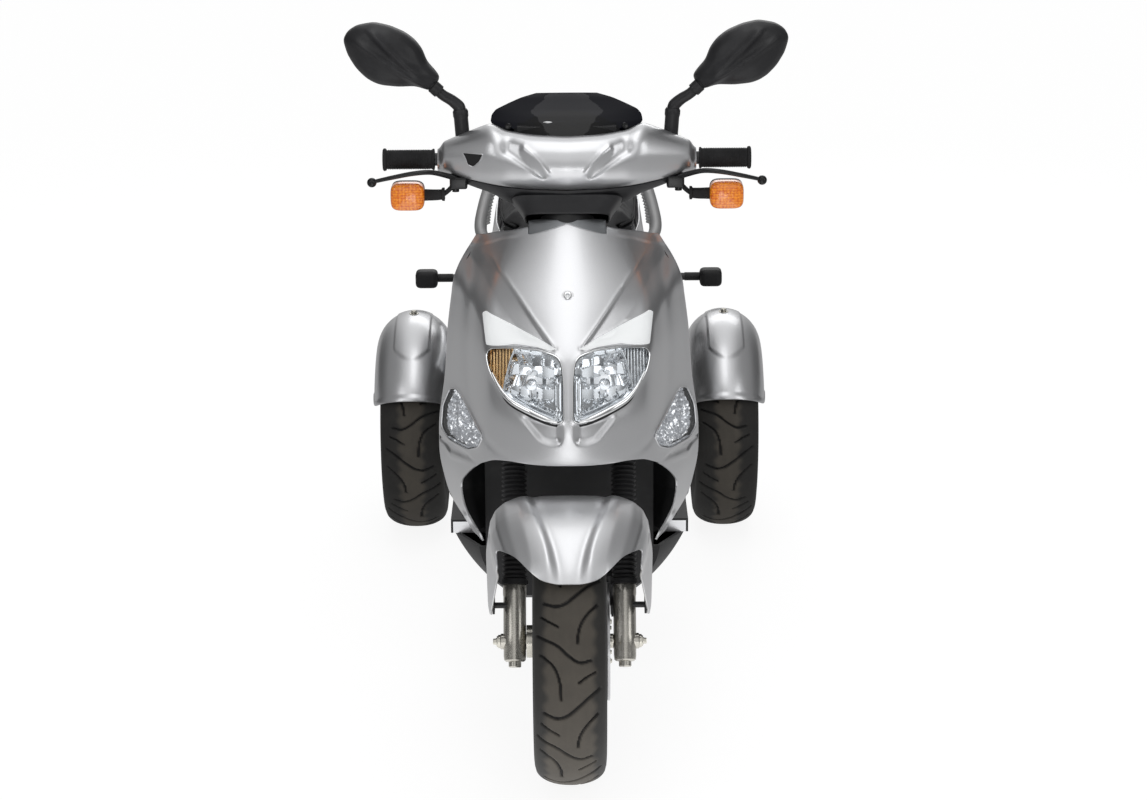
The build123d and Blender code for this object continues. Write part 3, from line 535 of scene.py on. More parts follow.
def in_row(obj, count, move, finish):
    """Repeats a piece count times, each moved on by a step in millimetres."""
    repeat = Repeat(obj.name + "_row", Count=count, Move=tuple(v / 1000 for v in move))
    points = repeat.add("GeometryNodePoints", values={"Count": repeat.given("Count")})
    where = repeat.given("Move") * repeat.add("GeometryNodeInputIndex")
    moved = repeat.add("GeometryNodeSetPosition", values={"Geometry": points, "Position": where})
    repeat.close(repeat.copies(moved, repeat.given("Geometry")))
    return repeat.run(obj, finish)


def around(obj, count, centre, finish, weld):
    """Repeats a piece count times round an axis along X through centre and merges the seams."""
    obj.data.transform(Matrix.Translation(-Vector(metres(centre))))
    repeat = Repeat(obj.name + "_ring", Count=count, Turn=2 * math.pi / count)
    points = repeat.add("GeometryNodePoints", values={"Count": repeat.given("Count")})
    angle = repeat.add("GeometryNodeInputIndex") * repeat.given("Turn")
    turned = repeat.add("ShaderNodeCombineXYZ", values={"X": angle})
    repeat.close(repeat.copies(points, repeat.given("Geometry"), Rotation=turned))
    repeat.run(obj, finish)
    with edited(obj) as bm:
        bmesh.ops.remove_doubles(bm, verts=bm.verts[:], dist=weld / 1000)
    obj.data.transform(Matrix.Translation(Vector(metres(centre))))
    return obj


def on_spots(name, piece, spots, finish):
    """Copies of a piece at (point, direction, scale) spots, its Z along each direction."""
    me = bpy.data.meshes.new(name)
    me.from_pydata([tuple(metres(p)) for p, _, _ in spots], [], [])
    me.attributes.new("way", "FLOAT_VECTOR", "POINT")
    me.attributes.new("size", "FLOAT", "POINT")
    for k, (_, direction, scale) in enumerate(spots):
        me.attributes["way"].data[k].vector, me.attributes["size"].data[k].value = direction, scale
    obj = linked(name, me)
    repeat = Repeat(name + "_spots", Size=1.0)
    facing = repeat.add("GeometryNodeInputNamedAttribute", {"data_type": "FLOAT_VECTOR"}, {"Name": "way"})
    size = repeat.add("GeometryNodeInputNamedAttribute", {"data_type": "FLOAT"}, {"Name": "size"})
    turned = repeat.add("FunctionNodeAlignRotationToVector", {"axis": "Z"}, {"Vector": facing})
    source = repeat.add("GeometryNodeObjectInfo", values={"Object": piece}, output="Geometry")
    points = repeat.add("GeometryNodeMeshToPoints", values={"Mesh": repeat.given("Geometry")})
    repeat.close(repeat.copies(points, source, Rotation=turned, Scale=size * repeat.given("Size")))
    return repeat.run(obj, finish)


print("node tools ready")

# %% [markdown]
# ## Paint
# Silver lacquer is a clear coat over aluminium flakes. The flakes make it a rough mirror that
# sparkles at close range, and the coat adds the sharp, weak reflection on top.


# %%
# Silver and white lacquer
def scaled(tone, factor, more=0.0):
    """A colour made lighter or darker."""
    return tuple(t * factor + more for t in tone)


def metallic_paint(name, tone):
    """Flakes under a clear coat."""
    s = Finish(name, Metallic=0.88, Coat_Weight=0.5, Coat_Roughness=0.06)
    flakes, clouds = s.noise(1100, 2.0), s.noise(7, 2.0)
    colour = s.mix(scaled(tone, 0.84), scaled(tone, 1.10), flakes * 0.75 + clouds * 0.25)
    s.set(Base_Color=colour, Roughness=0.25 + flakes * 0.13)
    s.bump(flakes, 0.04, 0.3)
    return s.material


def plain_paint(name, tone, glow=0.0):
    """Solid lacquer with a faint orange peel; glow, where given, is painted light that brightens it."""
    s = Finish(name, Roughness=0.28, Coat_Weight=0.8, Coat_Roughness=0.05,
               Emission_Color=(0.94, 1.0, 1.0), Emission_Strength=glow)
    peel, haze = s.noise(260, 2.0), s.noise(18, 3.0)
    s.set(Base_Color=s.mix(scaled(tone, 0.95), tone, haze))
    s.bump(peel, 0.03, 0.3)
    return s.material


silver = metallic_paint("silver_paint", (0.66, 0.665, 0.68))
white_paint = plain_paint("white_paint", (0.97, 0.98, 0.99))
# the brows glow faintly: painted light that makes their white brighter than lacquer can be
brow_white = plain_paint("brow_white", (0.97, 0.98, 0.99), 0.19)
print("paints", silver.name, white_paint.name)

# %% [markdown]
# ## Plastic and rubber
# Unpainted covers are black polypropylene, moulded with a fine grain so that scratches don't
# show. Dust settles in patches and lightens them. Rubber is duller and a little brown.


# %%
# Moulded plastic, rubber and the seat's vinyl
def moulded_plastic(name, tone, rough=0.52, grain=0.10, dusty=0.014):
    """Grained plastic, a little dusty."""
    s = Finish(name, Specular_IOR_Level=0.36)
    fine, dust = s.noise(1500, 2.0), s.noise(22, 4.0)
    dusted = s.mix(tone, scaled(tone, 1.5, dusty), dust.rise(0.45, 0.4))
    s.set(Base_Color=dusted, Roughness=fine * 0.16 + (rough - 0.08))
    s.bump(fine, grain, 0.5)
    return s.material


def rubber(name, tone):
    """Soft black rubber with a dusty bloom."""
    s = Finish(name, Specular_IOR_Level=0.34)
    fine, dust = s.noise(700, 3.0), s.noise(14, 5.0)
    dusted = s.mix(tone, scaled(tone, 1.5, 0.016), dust.rise(0.42, 0.4))
    s.set(Base_Color=dusted, Roughness=fine * 0.15 + 0.66)
    s.bump(fine, 0.15, 0.5)
    return s.material


def tyre_rubber(name):
    """Road dust and painted light on the middle band; clean black shoulders and grooves darker as painted
    shade.
    """
    s = Finish(name, Specular_IOR_Level=0.35)
    fine, dust, scuff = s.noise(520, 4.0), s.noise(26, 5.0), s.noise(1.0, 4.0, s.place((90.0, 12.0, 12.0)))
    # the middle band is road dust and painted light; the shoulders and grooves are painted shade
    worn, groove = s.mark("worn"), s.mark("groove")
    face = s.mix((0.048, 0.043, 0.037), (0.098, 0.086, 0.070), dust * 0.7 + scuff * 0.3)
    clean_and_shaded = s.mix((0.014, 0.014, 0.014), (0.034, 0.032, 0.029), dust)
    colour = s.mix(s.mix(clean_and_shaded, face, worn), (0.006, 0.006, 0.006), groove)
    s.set(Base_Color=colour, Roughness=0.62 + fine * 0.2)
    s.bump(fine, 0.2, 0.5)
    return s.material


def vinyl(name, tone):
    """Seat cover: leather grain in coated cloth."""
    s = Finish(name, Specular_IOR_Level=0.4)
    grain, fold = s.cells(650), s.noise(30, 3.0)
    leather = s.mix(tone, scaled(tone, 1.7, 0.01), grain * 0.7 + fold * 0.3)
    s.set(Base_Color=leather, Roughness=0.46 + grain * 0.2)
    s.bump(grain, 0.25, 0.55)
    return s.material


black_plastic = moulded_plastic("black_plastic", (0.013, 0.013, 0.014))
dark_plastic = moulded_plastic("dark_plastic", (0.019, 0.019, 0.021), 0.42, 0.05, 0.008)
gloss_black = moulded_plastic("gloss_black", (0.010, 0.010, 0.011), 0.22, 0.02, 0.003)
# the collar's paint is the silver made dark grey: painted shade from the neck above it
collar_grey = metallic_paint("collar_grey", (0.24, 0.25, 0.26))
soft_rubber = rubber("soft_rubber", (0.014, 0.014, 0.015))
tyre_black = tyre_rubber("tyre_black")
seat_vinyl = vinyl("seat_vinyl", (0.017, 0.017, 0.018))
print("plastics and rubbers ready")

# %% [markdown]
# ## Metal
# The wheels, engine cases and sliders are cast aluminium: matt, with stains. Shafts, discs and
# screws are turned or ground steel, whose fine lines run round the axis.


# %%
# Cast, turned and painted metal
def cast_metal(name, tone, rough=0.42, metallic=0.9):
    """Sand-cast or die-cast skin."""
    s = Finish(name, Metallic=metallic)
    grain, stain = s.noise(800, 3.0), s.noise(16, 4.0)
    s.set(Base_Color=s.mix(scaled(tone, 0.74), tone, stain), Roughness=grain * 0.2 + (rough - 0.1))
    s.bump(grain, 0.1, 0.5)
    return s.material


def turned_metal(name, tone):
    """Machined steel with fine lines round the X axis."""
    s = Finish(name, Metallic=1.0)
    lines = s.noise(60, 3.0, s.place((60.0, 1.0, 1.0)))
    s.set(Base_Color=s.mix(scaled(tone, 0.8), tone, lines), Roughness=lines * 0.15 + 0.25)
    s.bump(lines, 0.03, 0.4)
    return s.material


def plated(name, tone, rough):
    """Chrome and zinc: bright, with faint haze."""
    s = Finish(name, Metallic=1.0)
    haze = s.noise(40, 3.0)
    s.set(Base_Color=s.mix(scaled(tone, 0.9), tone, haze), Roughness=haze * 0.06 + rough)
    return s.material


cast_alloy = cast_metal("cast_alloy", (0.50, 0.49, 0.47))
wheel_alloy = cast_metal("wheel_alloy", (0.58, 0.58, 0.58), 0.36)
fork_alloy = cast_metal("fork_alloy", (0.58, 0.56, 0.51), 0.26)
rail_alloy = cast_metal("rail_alloy", (0.46, 0.46, 0.46), 0.5, 0.7)
dark_steel = cast_metal("dark_steel", (0.07, 0.07, 0.072), 0.45, 0.5)
frame_paint = moulded_plastic("frame_paint", (0.016, 0.016, 0.017), 0.36, 0.03, 0.006)
bright_steel = turned_metal("bright_steel", (0.66, 0.66, 0.67))
chrome = plated("chrome", (0.84, 0.85, 0.86), 0.05)
zinc = plated("zinc", (0.60, 0.58, 0.52), 0.24)
mirror_face = plated("mirror_face", (0.92, 0.93, 0.94), 0.0)
reflector = plated("reflector", (0.93, 0.94, 0.95), 0.07)
print("metals ready")


# %%
# Ribbed and pebbled cells of the lamps
def ribbed(name, tone):
    """Plated plastic with upright ribs, their valleys painted darker as shade."""
    s = Finish(name, Metallic=0.9)
    ribs = s.waves("X", 0.0052) * 0.5 + 0.5
    # the colour darkens towards each rib's valley: painted shade
    s.set(Base_Color=s.mix(scaled(tone, 0.35), tone, ribs), Roughness=0.12 + ribs * 0.1)
    s.bump(ribs, 1.3, 0.8)
    return s.material


amber_cell = ribbed("amber_cell", (0.95, 0.62, 0.30))
ribbed_cell = ribbed("ribbed_cell", (0.96, 0.97, 0.98))
# marker bowls' coat: painted highlights as white, glowing glints, and a faint painted glow elsewhere
s = Finish("pebble_coat", Metallic=0.5, Roughness=0.12, Emission_Strength=0.8)
painted_glints = (1 - s.cells(150).rise(0.30, 0.20)) * s.noise(70, 1.0).rise(0.42, 0.16)
s.set(Base_Color=s.mix((0.60, 0.61, 0.63), (1, 1, 1), painted_glints),
      Emission_Color=s.mix((0.08, 0.08, 0.085), (1, 1, 1), painted_glints))
pebble_coat = s.material
print("lamp cells ready")

# %% [markdown]
# ## Lenses
# Lamp glasses are clear plastic a few millimetres thick: they let light through and mirror a
# little at their skin. Coloured lenses are moulded with ribs and pebbles on the inside, which
# scatter the light, so here they are a glossy solid with a patterned colour. They and the bulbs
# glow faintly though the lamps are off: painted light that makes them brighter.


# %%
# Clear and coloured lenses
def clear_lens(name, tint, gloss):
    """Thin plastic: passes light and mirrors at its surface."""
    s = Finish(name)
    clear = s.add("ShaderNodeBsdfTransparent", values={"Color": tint})
    shine = s.add("ShaderNodeBsdfAnisotropic", {"distribution": "GGX"}, {"Roughness": 0.02})
    edge = s.add("ShaderNodeLayerWeight", values={"Blend": 0.3}, output="Facing")
    both = s.add("ShaderNodeMixShader", values={0: edge * edge * 0.3 + gloss, 1: clear, 2: shine})
    s.plug(s.output.inputs["Surface"], both)
    return s.material


def coloured_lens(name, tone, deep, glow=0.10):
    """Lamp plastic with ribs and pebbles inside, glowing faintly though the lamps are off: painted light."""
    s = Finish(name, Coat_Weight=1.0, Coat_Roughness=0.03, Roughness=0.22, Emission_Strength=glow)
    ribs, bars, bits = s.waves("Z", 0.0046), s.waves("X", 0.0060), s.cells(230)
    colour = s.mix(tone, deep, bits * 0.9 + ribs * 0.16 + bars * 0.12 + 0.1)
    s.set(Base_Color=colour, Emission_Color=colour)
    s.bump(bits + ribs * 0.35 + bars * 0.25, 0.6, 0.6)
    return s.material


lens_clear = clear_lens("lens_clear", (0.97, 0.98, 0.99), 0.015)
smoked = clear_lens("smoked_screen", (0.045, 0.048, 0.072), 0.022)
# the amber and red glow faintly, 0.20 and 0.10: painted light; the red also colours the dial needles
amber = coloured_lens("amber_lens", (1.0, 0.34, 0.015), (0.62, 0.10, 0.0), 0.20)
red = coloured_lens("red_lens", (0.50, 0.018, 0.012), (0.20, 0.0, 0.0))
# the bulb glass glows faintly though the lamps are off: painted light
s = Finish("bulb_glass", Roughness=0.04, Emission_Color=(1, 1, 1), Emission_Strength=0.35)
s.set(Base_Color=s.mix((0.85, 0.86, 0.88), (1, 1, 1), s.noise(120)))
bulb_glass = s.material
print("lenses ready")

# %% [markdown]
# ## Camera
# A long lens from in front and above shows the shield, both lamps and all three wheels at once
# with little distortion. The camera is held by hand, so it tilts by under a degree.

# %%
# Camera
picture_width = 1147
focal_pixels = 2863.0
camera_side, camera_distance, camera_height = 8.6, 4430.0, 1951.0
pitch_down, roll = 16.35, 0.38

cam_data = bpy.data.cameras.new("camera")
cam_data.sensor_width = 36.0
cam_data.lens = 36.0 * focal_pixels / picture_width
cam_data.clip_start, cam_data.clip_end = 0.1, 100
cam = linked("camera", cam_data)
cam.location = metres((camera_side, -camera_distance, camera_height))
cam.rotation_mode = "QUATERNION"
aim = Matrix.Rotation(math.radians(90 - pitch_down), 4, "X") @ Matrix.Rotation(math.radians(-roll), 4, "Z")
cam.rotation_quaternion = aim.to_quaternion()
bpy.context.scene.camera = cam
bpy.context.scene.view_settings.view_transform = "Standard"
print("lens", round(cam_data.lens, 1), "mm")

# %% [markdown]
# ## Light
# Lacquer shows what is around it, so the room matters more than the lamps. Overhead it is bright
# in the middle and falls away to both sides, which draws the ridge of the leg shield. A low dark
# band and two dark corners behind give the flanks their shadow. Wide, weak lamps add soft lights.


# %%
# Soft lamps and the room
def soft_light(name, where, target, size, radiance):
    """A rectangular lamp of a given brightness, seen from its front."""
    data = bpy.data.lights.new(name, "AREA")
    data.shape, data.size, data.size_y = "RECTANGLE", size[0], size[1]
    data.energy = radiance * math.pi * size[0] * size[1]
    light = linked(name, data)
    light.location = where
    light.rotation_mode = "QUATERNION"
    light.rotation_quaternion = (Vector(target) - Vector(where)).to_track_quat("-Z", "Y")


soft_light("key_left", (-2.6, -2.6, 2.6), (0, 0, 0.6), (1.3, 2.4), 1.5)
soft_light("key_right", (2.8, -2.2, 2.4), (0, 0, 0.6), (1.3, 2.4), 1.7)
soft_light("top", (0, -0.5, 3.6), (0, 0, 0.5), (0.9, 2.6), 1.1)
soft_light("front_low", (0, -3.6, 0.12), (0, -0.9, 0.55), (1.0, 0.7), 1.8)
soft_light("back", (0.4, 3.6, 2.4), (0, 0, 0.6), (2.4, 1.2), 1.2)

world = bpy.data.worlds.new("studio")
bpy.context.scene.world = world
world.use_nodes = True
room = Nodes(world.node_tree)
direction = room.add("ShaderNodeTexCoord", output="Generated")
split = room.add("ShaderNodeSeparateXYZ", values={0: direction})
sideways, back, up = (Socket(room, split.socket.node.outputs[k]) for k in range(3))
middle = 1 - sideways.function("ABSOLUTE").rise(0.10, 0.50)
ceiling = 0.26 + middle * 0.74
horizon = 0.17 + middle * 0.40
folded = room.add("ShaderNodeCombineXYZ", values={"X": sideways.function("ABSOLUTE"), "Y": back, "Z": up})
toward_corner = {0: folded, 1: (0.86, 0.5, -0.05)}
behind = room.add("ShaderNodeVectorMath", {"operation": "DOT_PRODUCT"}, toward_corner, "Value")
corners = 1 - behind.rise(0.80, 0.16) * 0.66
raised = up.rise(0.02, 0.55)
level = (horizon + raised * (ceiling - horizon)) * corners
studio = room.add("ShaderNodeBackground", values={"Color": level, "Strength": 0.95})
white = room.add("ShaderNodeBackground", values={"Color": (1, 1, 1), "Strength": 1.0})
seen = room.add("ShaderNodeLightPath", output="Is Camera Ray")
choose = room.add("ShaderNodeMixShader", values={0: seen, 1: studio, 2: white})
room.add("ShaderNodeOutputWorld", values={"Surface": choose})

# %% [markdown]
# ## Floor
# A sheet of white paper that runs out to the horizon. It glows a little, so it stays white far
# from the lamps, and the rest of its surface takes the soft shadow under the wheels. In what the
# lacquer mirrors it grows darker to the sides and behind, as a studio does past its paper.

# %%
# Floor
floor_half = 30.0
corners_at = [(x * floor_half, y * floor_half, -0.0006) for x, y in ((-1, -1), (1, -1), (1, 1), (-1, 1))]
floor_mesh = bpy.data.meshes.new("floor")
floor_mesh.from_pydata(corners_at, [], [(0, 1, 2, 3)])
floor_obj = linked("floor", floor_mesh)
paper = Finish("floor_paper", Base_Color=(0.9, 0.9, 0.9), Roughness=0.9)
paper.bump(paper.noise(300), 0.05, 0.2)
out_sideways = paper.part("X").function("ABSOLUTE").rise(0.20, 0.9)
out_behind = paper.part("Y").rise(-1.2, 1.6)
in_mirrors = 1.70 - out_sideways * 1.34 - (1 - out_sideways) * out_behind * 1.20
for_camera = paper.add("ShaderNodeLightPath", output="Is Camera Ray")
tone = paper.mix(in_mirrors, (1.12, 1.12, 1.12), for_camera)
glow = paper.add("ShaderNodeEmission", values={"Color": tone, "Strength": 1.0})
sheet = paper.add("ShaderNodeMixShader", values={0: 0.8, 1: paper.surface, 2: glow})
paper.plug(paper.output.inputs["Surface"], sheet)
floor_mesh.materials.append(paper.material)
print("floor", floor_half * 2, "m")

# %% [markdown]
# ## Leg shield
# The big painted panel in front of the rider's legs is one moulding of ABS plastic. Its sections
# are arcs that turn into flat sides. On that plain form lie a V-shaped ridge with a hollow on
# each side of it, a groove where the flanks begin and scoops below the lamps. The lamp holes and
# the wheel arch are cut from the finished surface, so their edges follow its curve.

# %%
# The plain form of the shield
# z, y of the centre line, x and y where the face turns, x and y of the side edge
apron_rows = [
    (306, 92, 112, 190, 168, 356),
    (380, 80, 146, 168, 209, 344),
    (455, 60, 148, 138, 225, 336),
    (525, 40, 140, 116, 224, 330),
    (600, 46, 136, 112, 212, 328),
    (690, 82, 138, 146, 206, 330),
    (765, 162, 132, 196, 196, 336),
    (838, 250, 104, 290, 153, 350),
    (900, 318, 70, 345, 110, 362),
]


def arc_back(x, fx, fy, cy):
    """y on the arc through (-fx, fy), (0, cy), (fx, fy)."""
    drop = max(fy - cy, 1e-6)
    r = (fx * fx + drop * drop) / (2 * drop)
    return cy + r - np.sqrt(np.maximum(r * r - x * x, 0))


def apron_section(z, count=121, turn=0.62):
    """Half a section, from the centre to the side edge, as (x, y)."""
    cy, fx, fy, sx, sy = along(apron_rows, [z])[0]
    t = np.linspace(0, 1, count)
    past = (t - turn) / (1 - turn)
    x = np.where(t < turn, t / turn * fx, fx + past * (sx - fx))
    y = np.where(t < turn, arc_back(np.minimum(x, fx), fx, fy, cy), fy + past * (sy - fy))
    return np.stack([x, y], -1)


apron_low = 306
apron_z = np.linspace(apron_low, 900, 199)
apron_half = soften(np.array([apron_section(z) for z in apron_z]), 5.0, axis=0)
apron_full = soften(np.concatenate([apron_half[:, 1:][:, ::-1] * (-1, 1), apron_half], axis=1), 4.0, axis=1)


def skin(x, z, lift=0.0):
    """The point of the plain shield at (x, z), lifted forwards."""
    x, z = np.broadcast_arrays(np.asarray(x, float), np.asarray(z, float))
    k = np.clip(np.searchsorted(apron_z, z) - 1, 0, len(apron_z) - 2)
    f = (z - apron_z[k]) / (apron_z[k + 1] - apron_z[k])
    y = np.empty(x.shape)
    for i in np.ndindex(x.shape):
        low = np.interp(x[i], apron_full[k[i], :, 0], apron_full[k[i], :, 1])
        high = np.interp(x[i], apron_full[k[i] + 1, :, 0], apron_full[k[i] + 1, :, 1])
        y[i] = low + f[i] * (high - low)
    return np.stack([x, y - lift, z], -1)


print("shield sections", apron_full.shape)


# %%
# Outlines drawn on a panel
def rounded(outline, count=120, sigma=1.6):
    """A closed outline with evenly spaced points and rounded corners."""
    p = np.array(outline + [outline[0]], float)
    s = np.concatenate([[0], np.cumsum(np.linalg.norm(np.diff(p, axis=0), axis=1))])
    t = np.linspace(0, s[-1], count, endpoint=False)
    q = np.stack([np.interp(t, s, p[:, k]) for k in range(2)], -1)
    n = int(3 * sigma) + 1
    return sum(w * np.roll(q, j, axis=0) for j, w in zip(range(-n, n + 1), bell(sigma, n)))


def grown(outline, by):
    """An outline moved outwards."""
    d = np.roll(outline, -1, axis=0) - np.roll(outline, 1, axis=0)
    n = np.stack([d[:, 1], -d[:, 0]], -1)
    n /= np.linalg.norm(n, axis=1)[:, None]
    area = np.sum(outline[:, 0] * np.roll(outline[:, 1], -1) - np.roll(outline[:, 0], -1) * outline[:, 1])
    return outline + n * by * (1 if area > 0 else -1)


def inside(outline, x, z):
    """Whether points lie in an outline."""
    result = np.zeros(x.shape, bool)
    (x_low, z_low), (x_high, z_high) = outline.min(axis=0), outline.max(axis=0)
    near = (x > x_low) & (x < x_high) & (z > z_low) & (z < z_high)
    px, pz, hit = x[near], z[near], result[near]
    for (x0, z0), (x1, z1) in zip(outline, np.roll(outline, -1, axis=0)):
        hit ^= ((z0 > pz) != (z1 > pz)) & (px < (x1 - x0) * (pz - z0) / (z1 - z0 + 1e-12) + x0)
    result[near] = hit
    return result


def distance(line, x, z, closed=False):
    """Distance from points to a line of (x, z) points."""
    line = np.asarray(line, float)
    ends = np.roll(line, -1, axis=0) if closed else line[1:]
    best = np.full(x.shape, 1e9)
    (x_low, z_low), (x_high, z_high) = line.min(axis=0) - 60, line.max(axis=0) + 60
    near = (x > x_low) & (x < x_high) & (z > z_low) & (z < z_high)
    px, pz, close = x[near], z[near], best[near]
    for a, b in zip(line, ends):
        d = b - a
        t = np.clip(((px - a[0]) * d[0] + (pz - a[1]) * d[1]) / (d @ d + 1e-12), 0, 1)
        close = np.minimum(close, np.hypot(px - a[0] - t * d[0], pz - a[1] - t * d[1]))
    best[near] = close
    return best


def depth_in(outline, x, z):
    """Distance to an outline, above 0 inside it."""
    return distance(outline, x, z, True) * np.where(inside(outline, x, z), 1, -1)


headlamp_outline = rounded([(8, 601), (8, 659), (11, 689), (18, 698), (46, 705.5), (88, 706.5), (129, 699),
                            (136, 689), (130, 666), (112, 638), (97, 624), (53, 607.5), (20, 596)])
marker_outline = rounded([(203, 587), (191, 595), (186, 594), (166, 573), (144, 552), (152, 528), (171, 509),
                          (208, 499), (220, 511), (217, 549)], sigma=2.0)
arch_half = [(0, 526), (60, 525.3), (95, 526), (126, 521), (151, 500), (171, 470), (185, 440), (187, 420),
             (182, 385), (169, 350), (154, 318), (150, 290)]
arch_outline = rounded(arch_half + [(-x, z) for x, z in reversed(arch_half[1:])], 260, 2.0)
brow_outline = rounded([(143, 744), (136, 749), (100, 737), (60, 723), (17, 708), (28, 705.5), (50, 708.5),
                        (88, 710), (136, 702)], 160, 0.8)
scoop_outline = rounded([(97, 623), (75, 592), (49, 563), (30, 557), (12, 559), (6.5, 570), (8, 600),
                         (53, 607)], sigma=2.5)
# z and x of the V's edge
vee_rows = [(707, 19.7), (740, 50), (775, 80.6), (799, 104), (823, 129.5)]
fold_line = [(146, 838), (153, 822), (165, 751), (170.5, 672), (166, 600), (143, 553), (120, 533), (100, 524)]
wing_line = [(226, 500), (205, 470), (150, 497)]
wing_facet = rounded([(236, 500), (228, 482), (206, 473), (180, 483), (152, 498), (168, 503), (212, 494)],
                     sigma=1.0)
top_edge = [(0, 877), (62, 859), (66, 859), (70, 869), (115, 855), (150, 838), (170, 832), (200, 826)]


def apron_relief(x, z):
    """How far the skin stands out from its plain form, in millimetres."""
    ax = np.abs(x)
    past = ax - table(vee_rows, z)
    high = step(z, 698, 20) * (1 - step(z, 800, 42))
    fall = np.clip(past, 0, 44) / 44
    outer_rise = 1 - step(past, 46, 62)
    relief = -11.0 * fall * (1.3 - 0.3 * fall) * outer_rise * high
    relief -= (1.5 + 4.0 * (1 - step(z, 700, 95))) * step(past, -1, 11) * outer_rise * high
    relief += 0.8 * hump(past, 4) * high
    relief -= 4.2 * hump(distance(fold_line, ax, z), 9) * step(z, 520, 30)
    relief -= 7.5 * step(depth_in(scoop_outline, ax, z), 0, 13) * (1 - step(z, 598, 10))
    relief += 1.4 * hump(ax, 13) * step(z, 548, 30) * (1 - step(z, 640, 70))
    relief -= 1.2 * hump(depth_in(brow_outline, ax, z), 1.5)
    for outline, lift in ((marker_outline, 3.4), (headlamp_outline, 1.5)):
        relief += lift * hump(np.maximum(-depth_in(outline, ax, z), 0), 5)
    low = step(-z, -505, 26)
    relief += 3.0 * hump(distance(wing_line, ax, z), 4.5) * low
    relief -= 9.0 * step(depth_in(wing_facet, ax, z), 0, 9)
    relief += 4.0 * hump(np.maximum(-depth_in(arch_outline, ax, z), 0), 9) * step(ax, 118, 30) * low
    below_top = table(top_edge, ax) - z
    relief += 1.5 * (1 - step(below_top, 8.5, 2.5)) * step(ax, 62, 30)
    return relief


def lifted(x, z, lift=0.0):
    """The shield's real surface."""
    p = skin(x, z)
    p[..., 1] -= apron_relief(np.asarray(x, float), np.asarray(z, float)) + lift
    return p


def cut(points, surface, holes):
    """Points and kept faces of a grid after holes are cut; the rims are moved onto the outlines."""
    nu, nv = points.shape[:2]
    x, z = points[..., 0].copy(), points[..., 2].copy()
    faces = quads(nu, nv)
    keep = np.ones(len(faces), bool)
    for outline in holes:
        near = (x > outline[:, 0].min() - 8) & (x < outline[:, 0].max() + 8)
        near &= (z > outline[:, 1].min() - 8) & (z < outline[:, 1].max() + 8)
        hit = np.zeros(x.shape, bool)
        hit[near] = inside(outline, x[near], z[near])
        flat = hit.ravel()
        full = flat[faces].all(axis=1)
        rim = np.zeros(nu * nv, bool)
        rim[faces[flat[faces].any(axis=1) & ~full].ravel()] = True
        keep &= ~full
        d = np.roll(outline, -1, axis=0) - outline
        at = np.nonzero(rim & flat)[0]
        here = np.stack([x.flat[at], z.flat[at]], -1)[:, None]
        t = np.clip(((here - outline) * d).sum(-1) / (d ** 2).sum(1), 0, 1)
        q = outline + d * t[..., None]
        best = q[np.arange(len(at)), np.argmin(((q - here) ** 2).sum(-1), axis=1)]
        x.flat[at], z.flat[at] = best.T
        points.reshape(-1, 3)[at] = surface(best[:, 0], best[:, 1])
    return points, keep


# %%
# The painted skin
def apron_grid(rows=225, columns=281):
    """The whole skin as a grid, its top row on the shield's top edge."""
    share, across = np.linspace(0, 1, rows), np.linspace(-1, 1, columns)
    full = np.linspace(-1, 1, apron_full.shape[1])
    points = np.empty((rows, columns, 3))
    # the row whose half width stands for a column's place under the top edge
    crest = np.searchsorted(apron_z, 860)
    for j, s in enumerate(across):
        xs = np.array([np.interp(s, full, row[:, 0]) for row in apron_full])
        ys = np.array([np.interp(s, full, row[:, 1]) for row in apron_full])
        z = apron_low + share * (table(top_edge, abs(xs[crest])) - apron_low)
        points[:, j] = np.stack([np.interp(z, apron_z, xs), np.interp(z, apron_z, ys), z], -1)
    points[..., 1] -= apron_relief(points[..., 0], points[..., 2])
    edge = step(np.abs(across), 0.94, 0.06)
    shoulder = step(points[..., 2], 740, 60) * step(np.abs(across), 0.7, 0.3)
    points[..., 0] += np.sign(across) * (1.2 * edge + 7.0 * shoulder)
    return points


holes = [arch_outline]
for side in (1, -1):
    holes += [grown(headlamp_outline * (side, 1), 2.2), grown(marker_outline * (side, 1), 1.2)]
points, keep = cut(apron_grid(), lifted, holes)
apron = thicken(grid("front_apron_skin", points, keep=keep, flip=True, sharp=45), 3.0, 0.5)
place(apron, "chassis", silver, ["front_apron"])
print("shield faces", len(apron.data.polygons))

# %% [markdown]
# The white brows over the lamps are painted on after masking, inside a fine groove, and glow
# faintly: painted light that brightens them. The collar closes the gap between the shield and the
# handlebar's neck; its dark grey is painted shade under the neck. One screw holds the shield to
# the frame from in front.


# %%
# Brows, collar and screw
def patch(name, outline, height, rings, back=False):
    """A surface that fills an outline of (x, z) and faces forwards; height(x, z, r) gives its points."""
    centre = outline.mean(axis=0)
    r = np.linspace(1, 0.04, rings)
    x = centre[0] + r[:, None] * (outline[None, :, 0] - centre[0])
    z = centre[1] + r[:, None] * (outline[None, :, 1] - centre[1])
    points = height(x, z, np.broadcast_to(r[:, None], x.shape))
    n = len(outline)
    faces = quads(rings, n, wrap_v=True).tolist() + [list(range((rings - 1) * n, rings * n))]
    turn = outline[:, 0] * np.roll(outline[:, 1], -1) - np.roll(outline[:, 0], -1) * outline[:, 1]
    if (turn.sum() > 0) != back:
        faces = [f[::-1] for f in faces]
    return make(name, points.reshape(-1, 3), faces, np.stack([x, z], -1) / 1000)


for name, side in both_sides:
    brow = patch(f"brow_{name}", brow_outline * (side, 1), lambda x, z, r: lifted(x, z, 0.7), 16)
    place(brow, "chassis", brow_white)

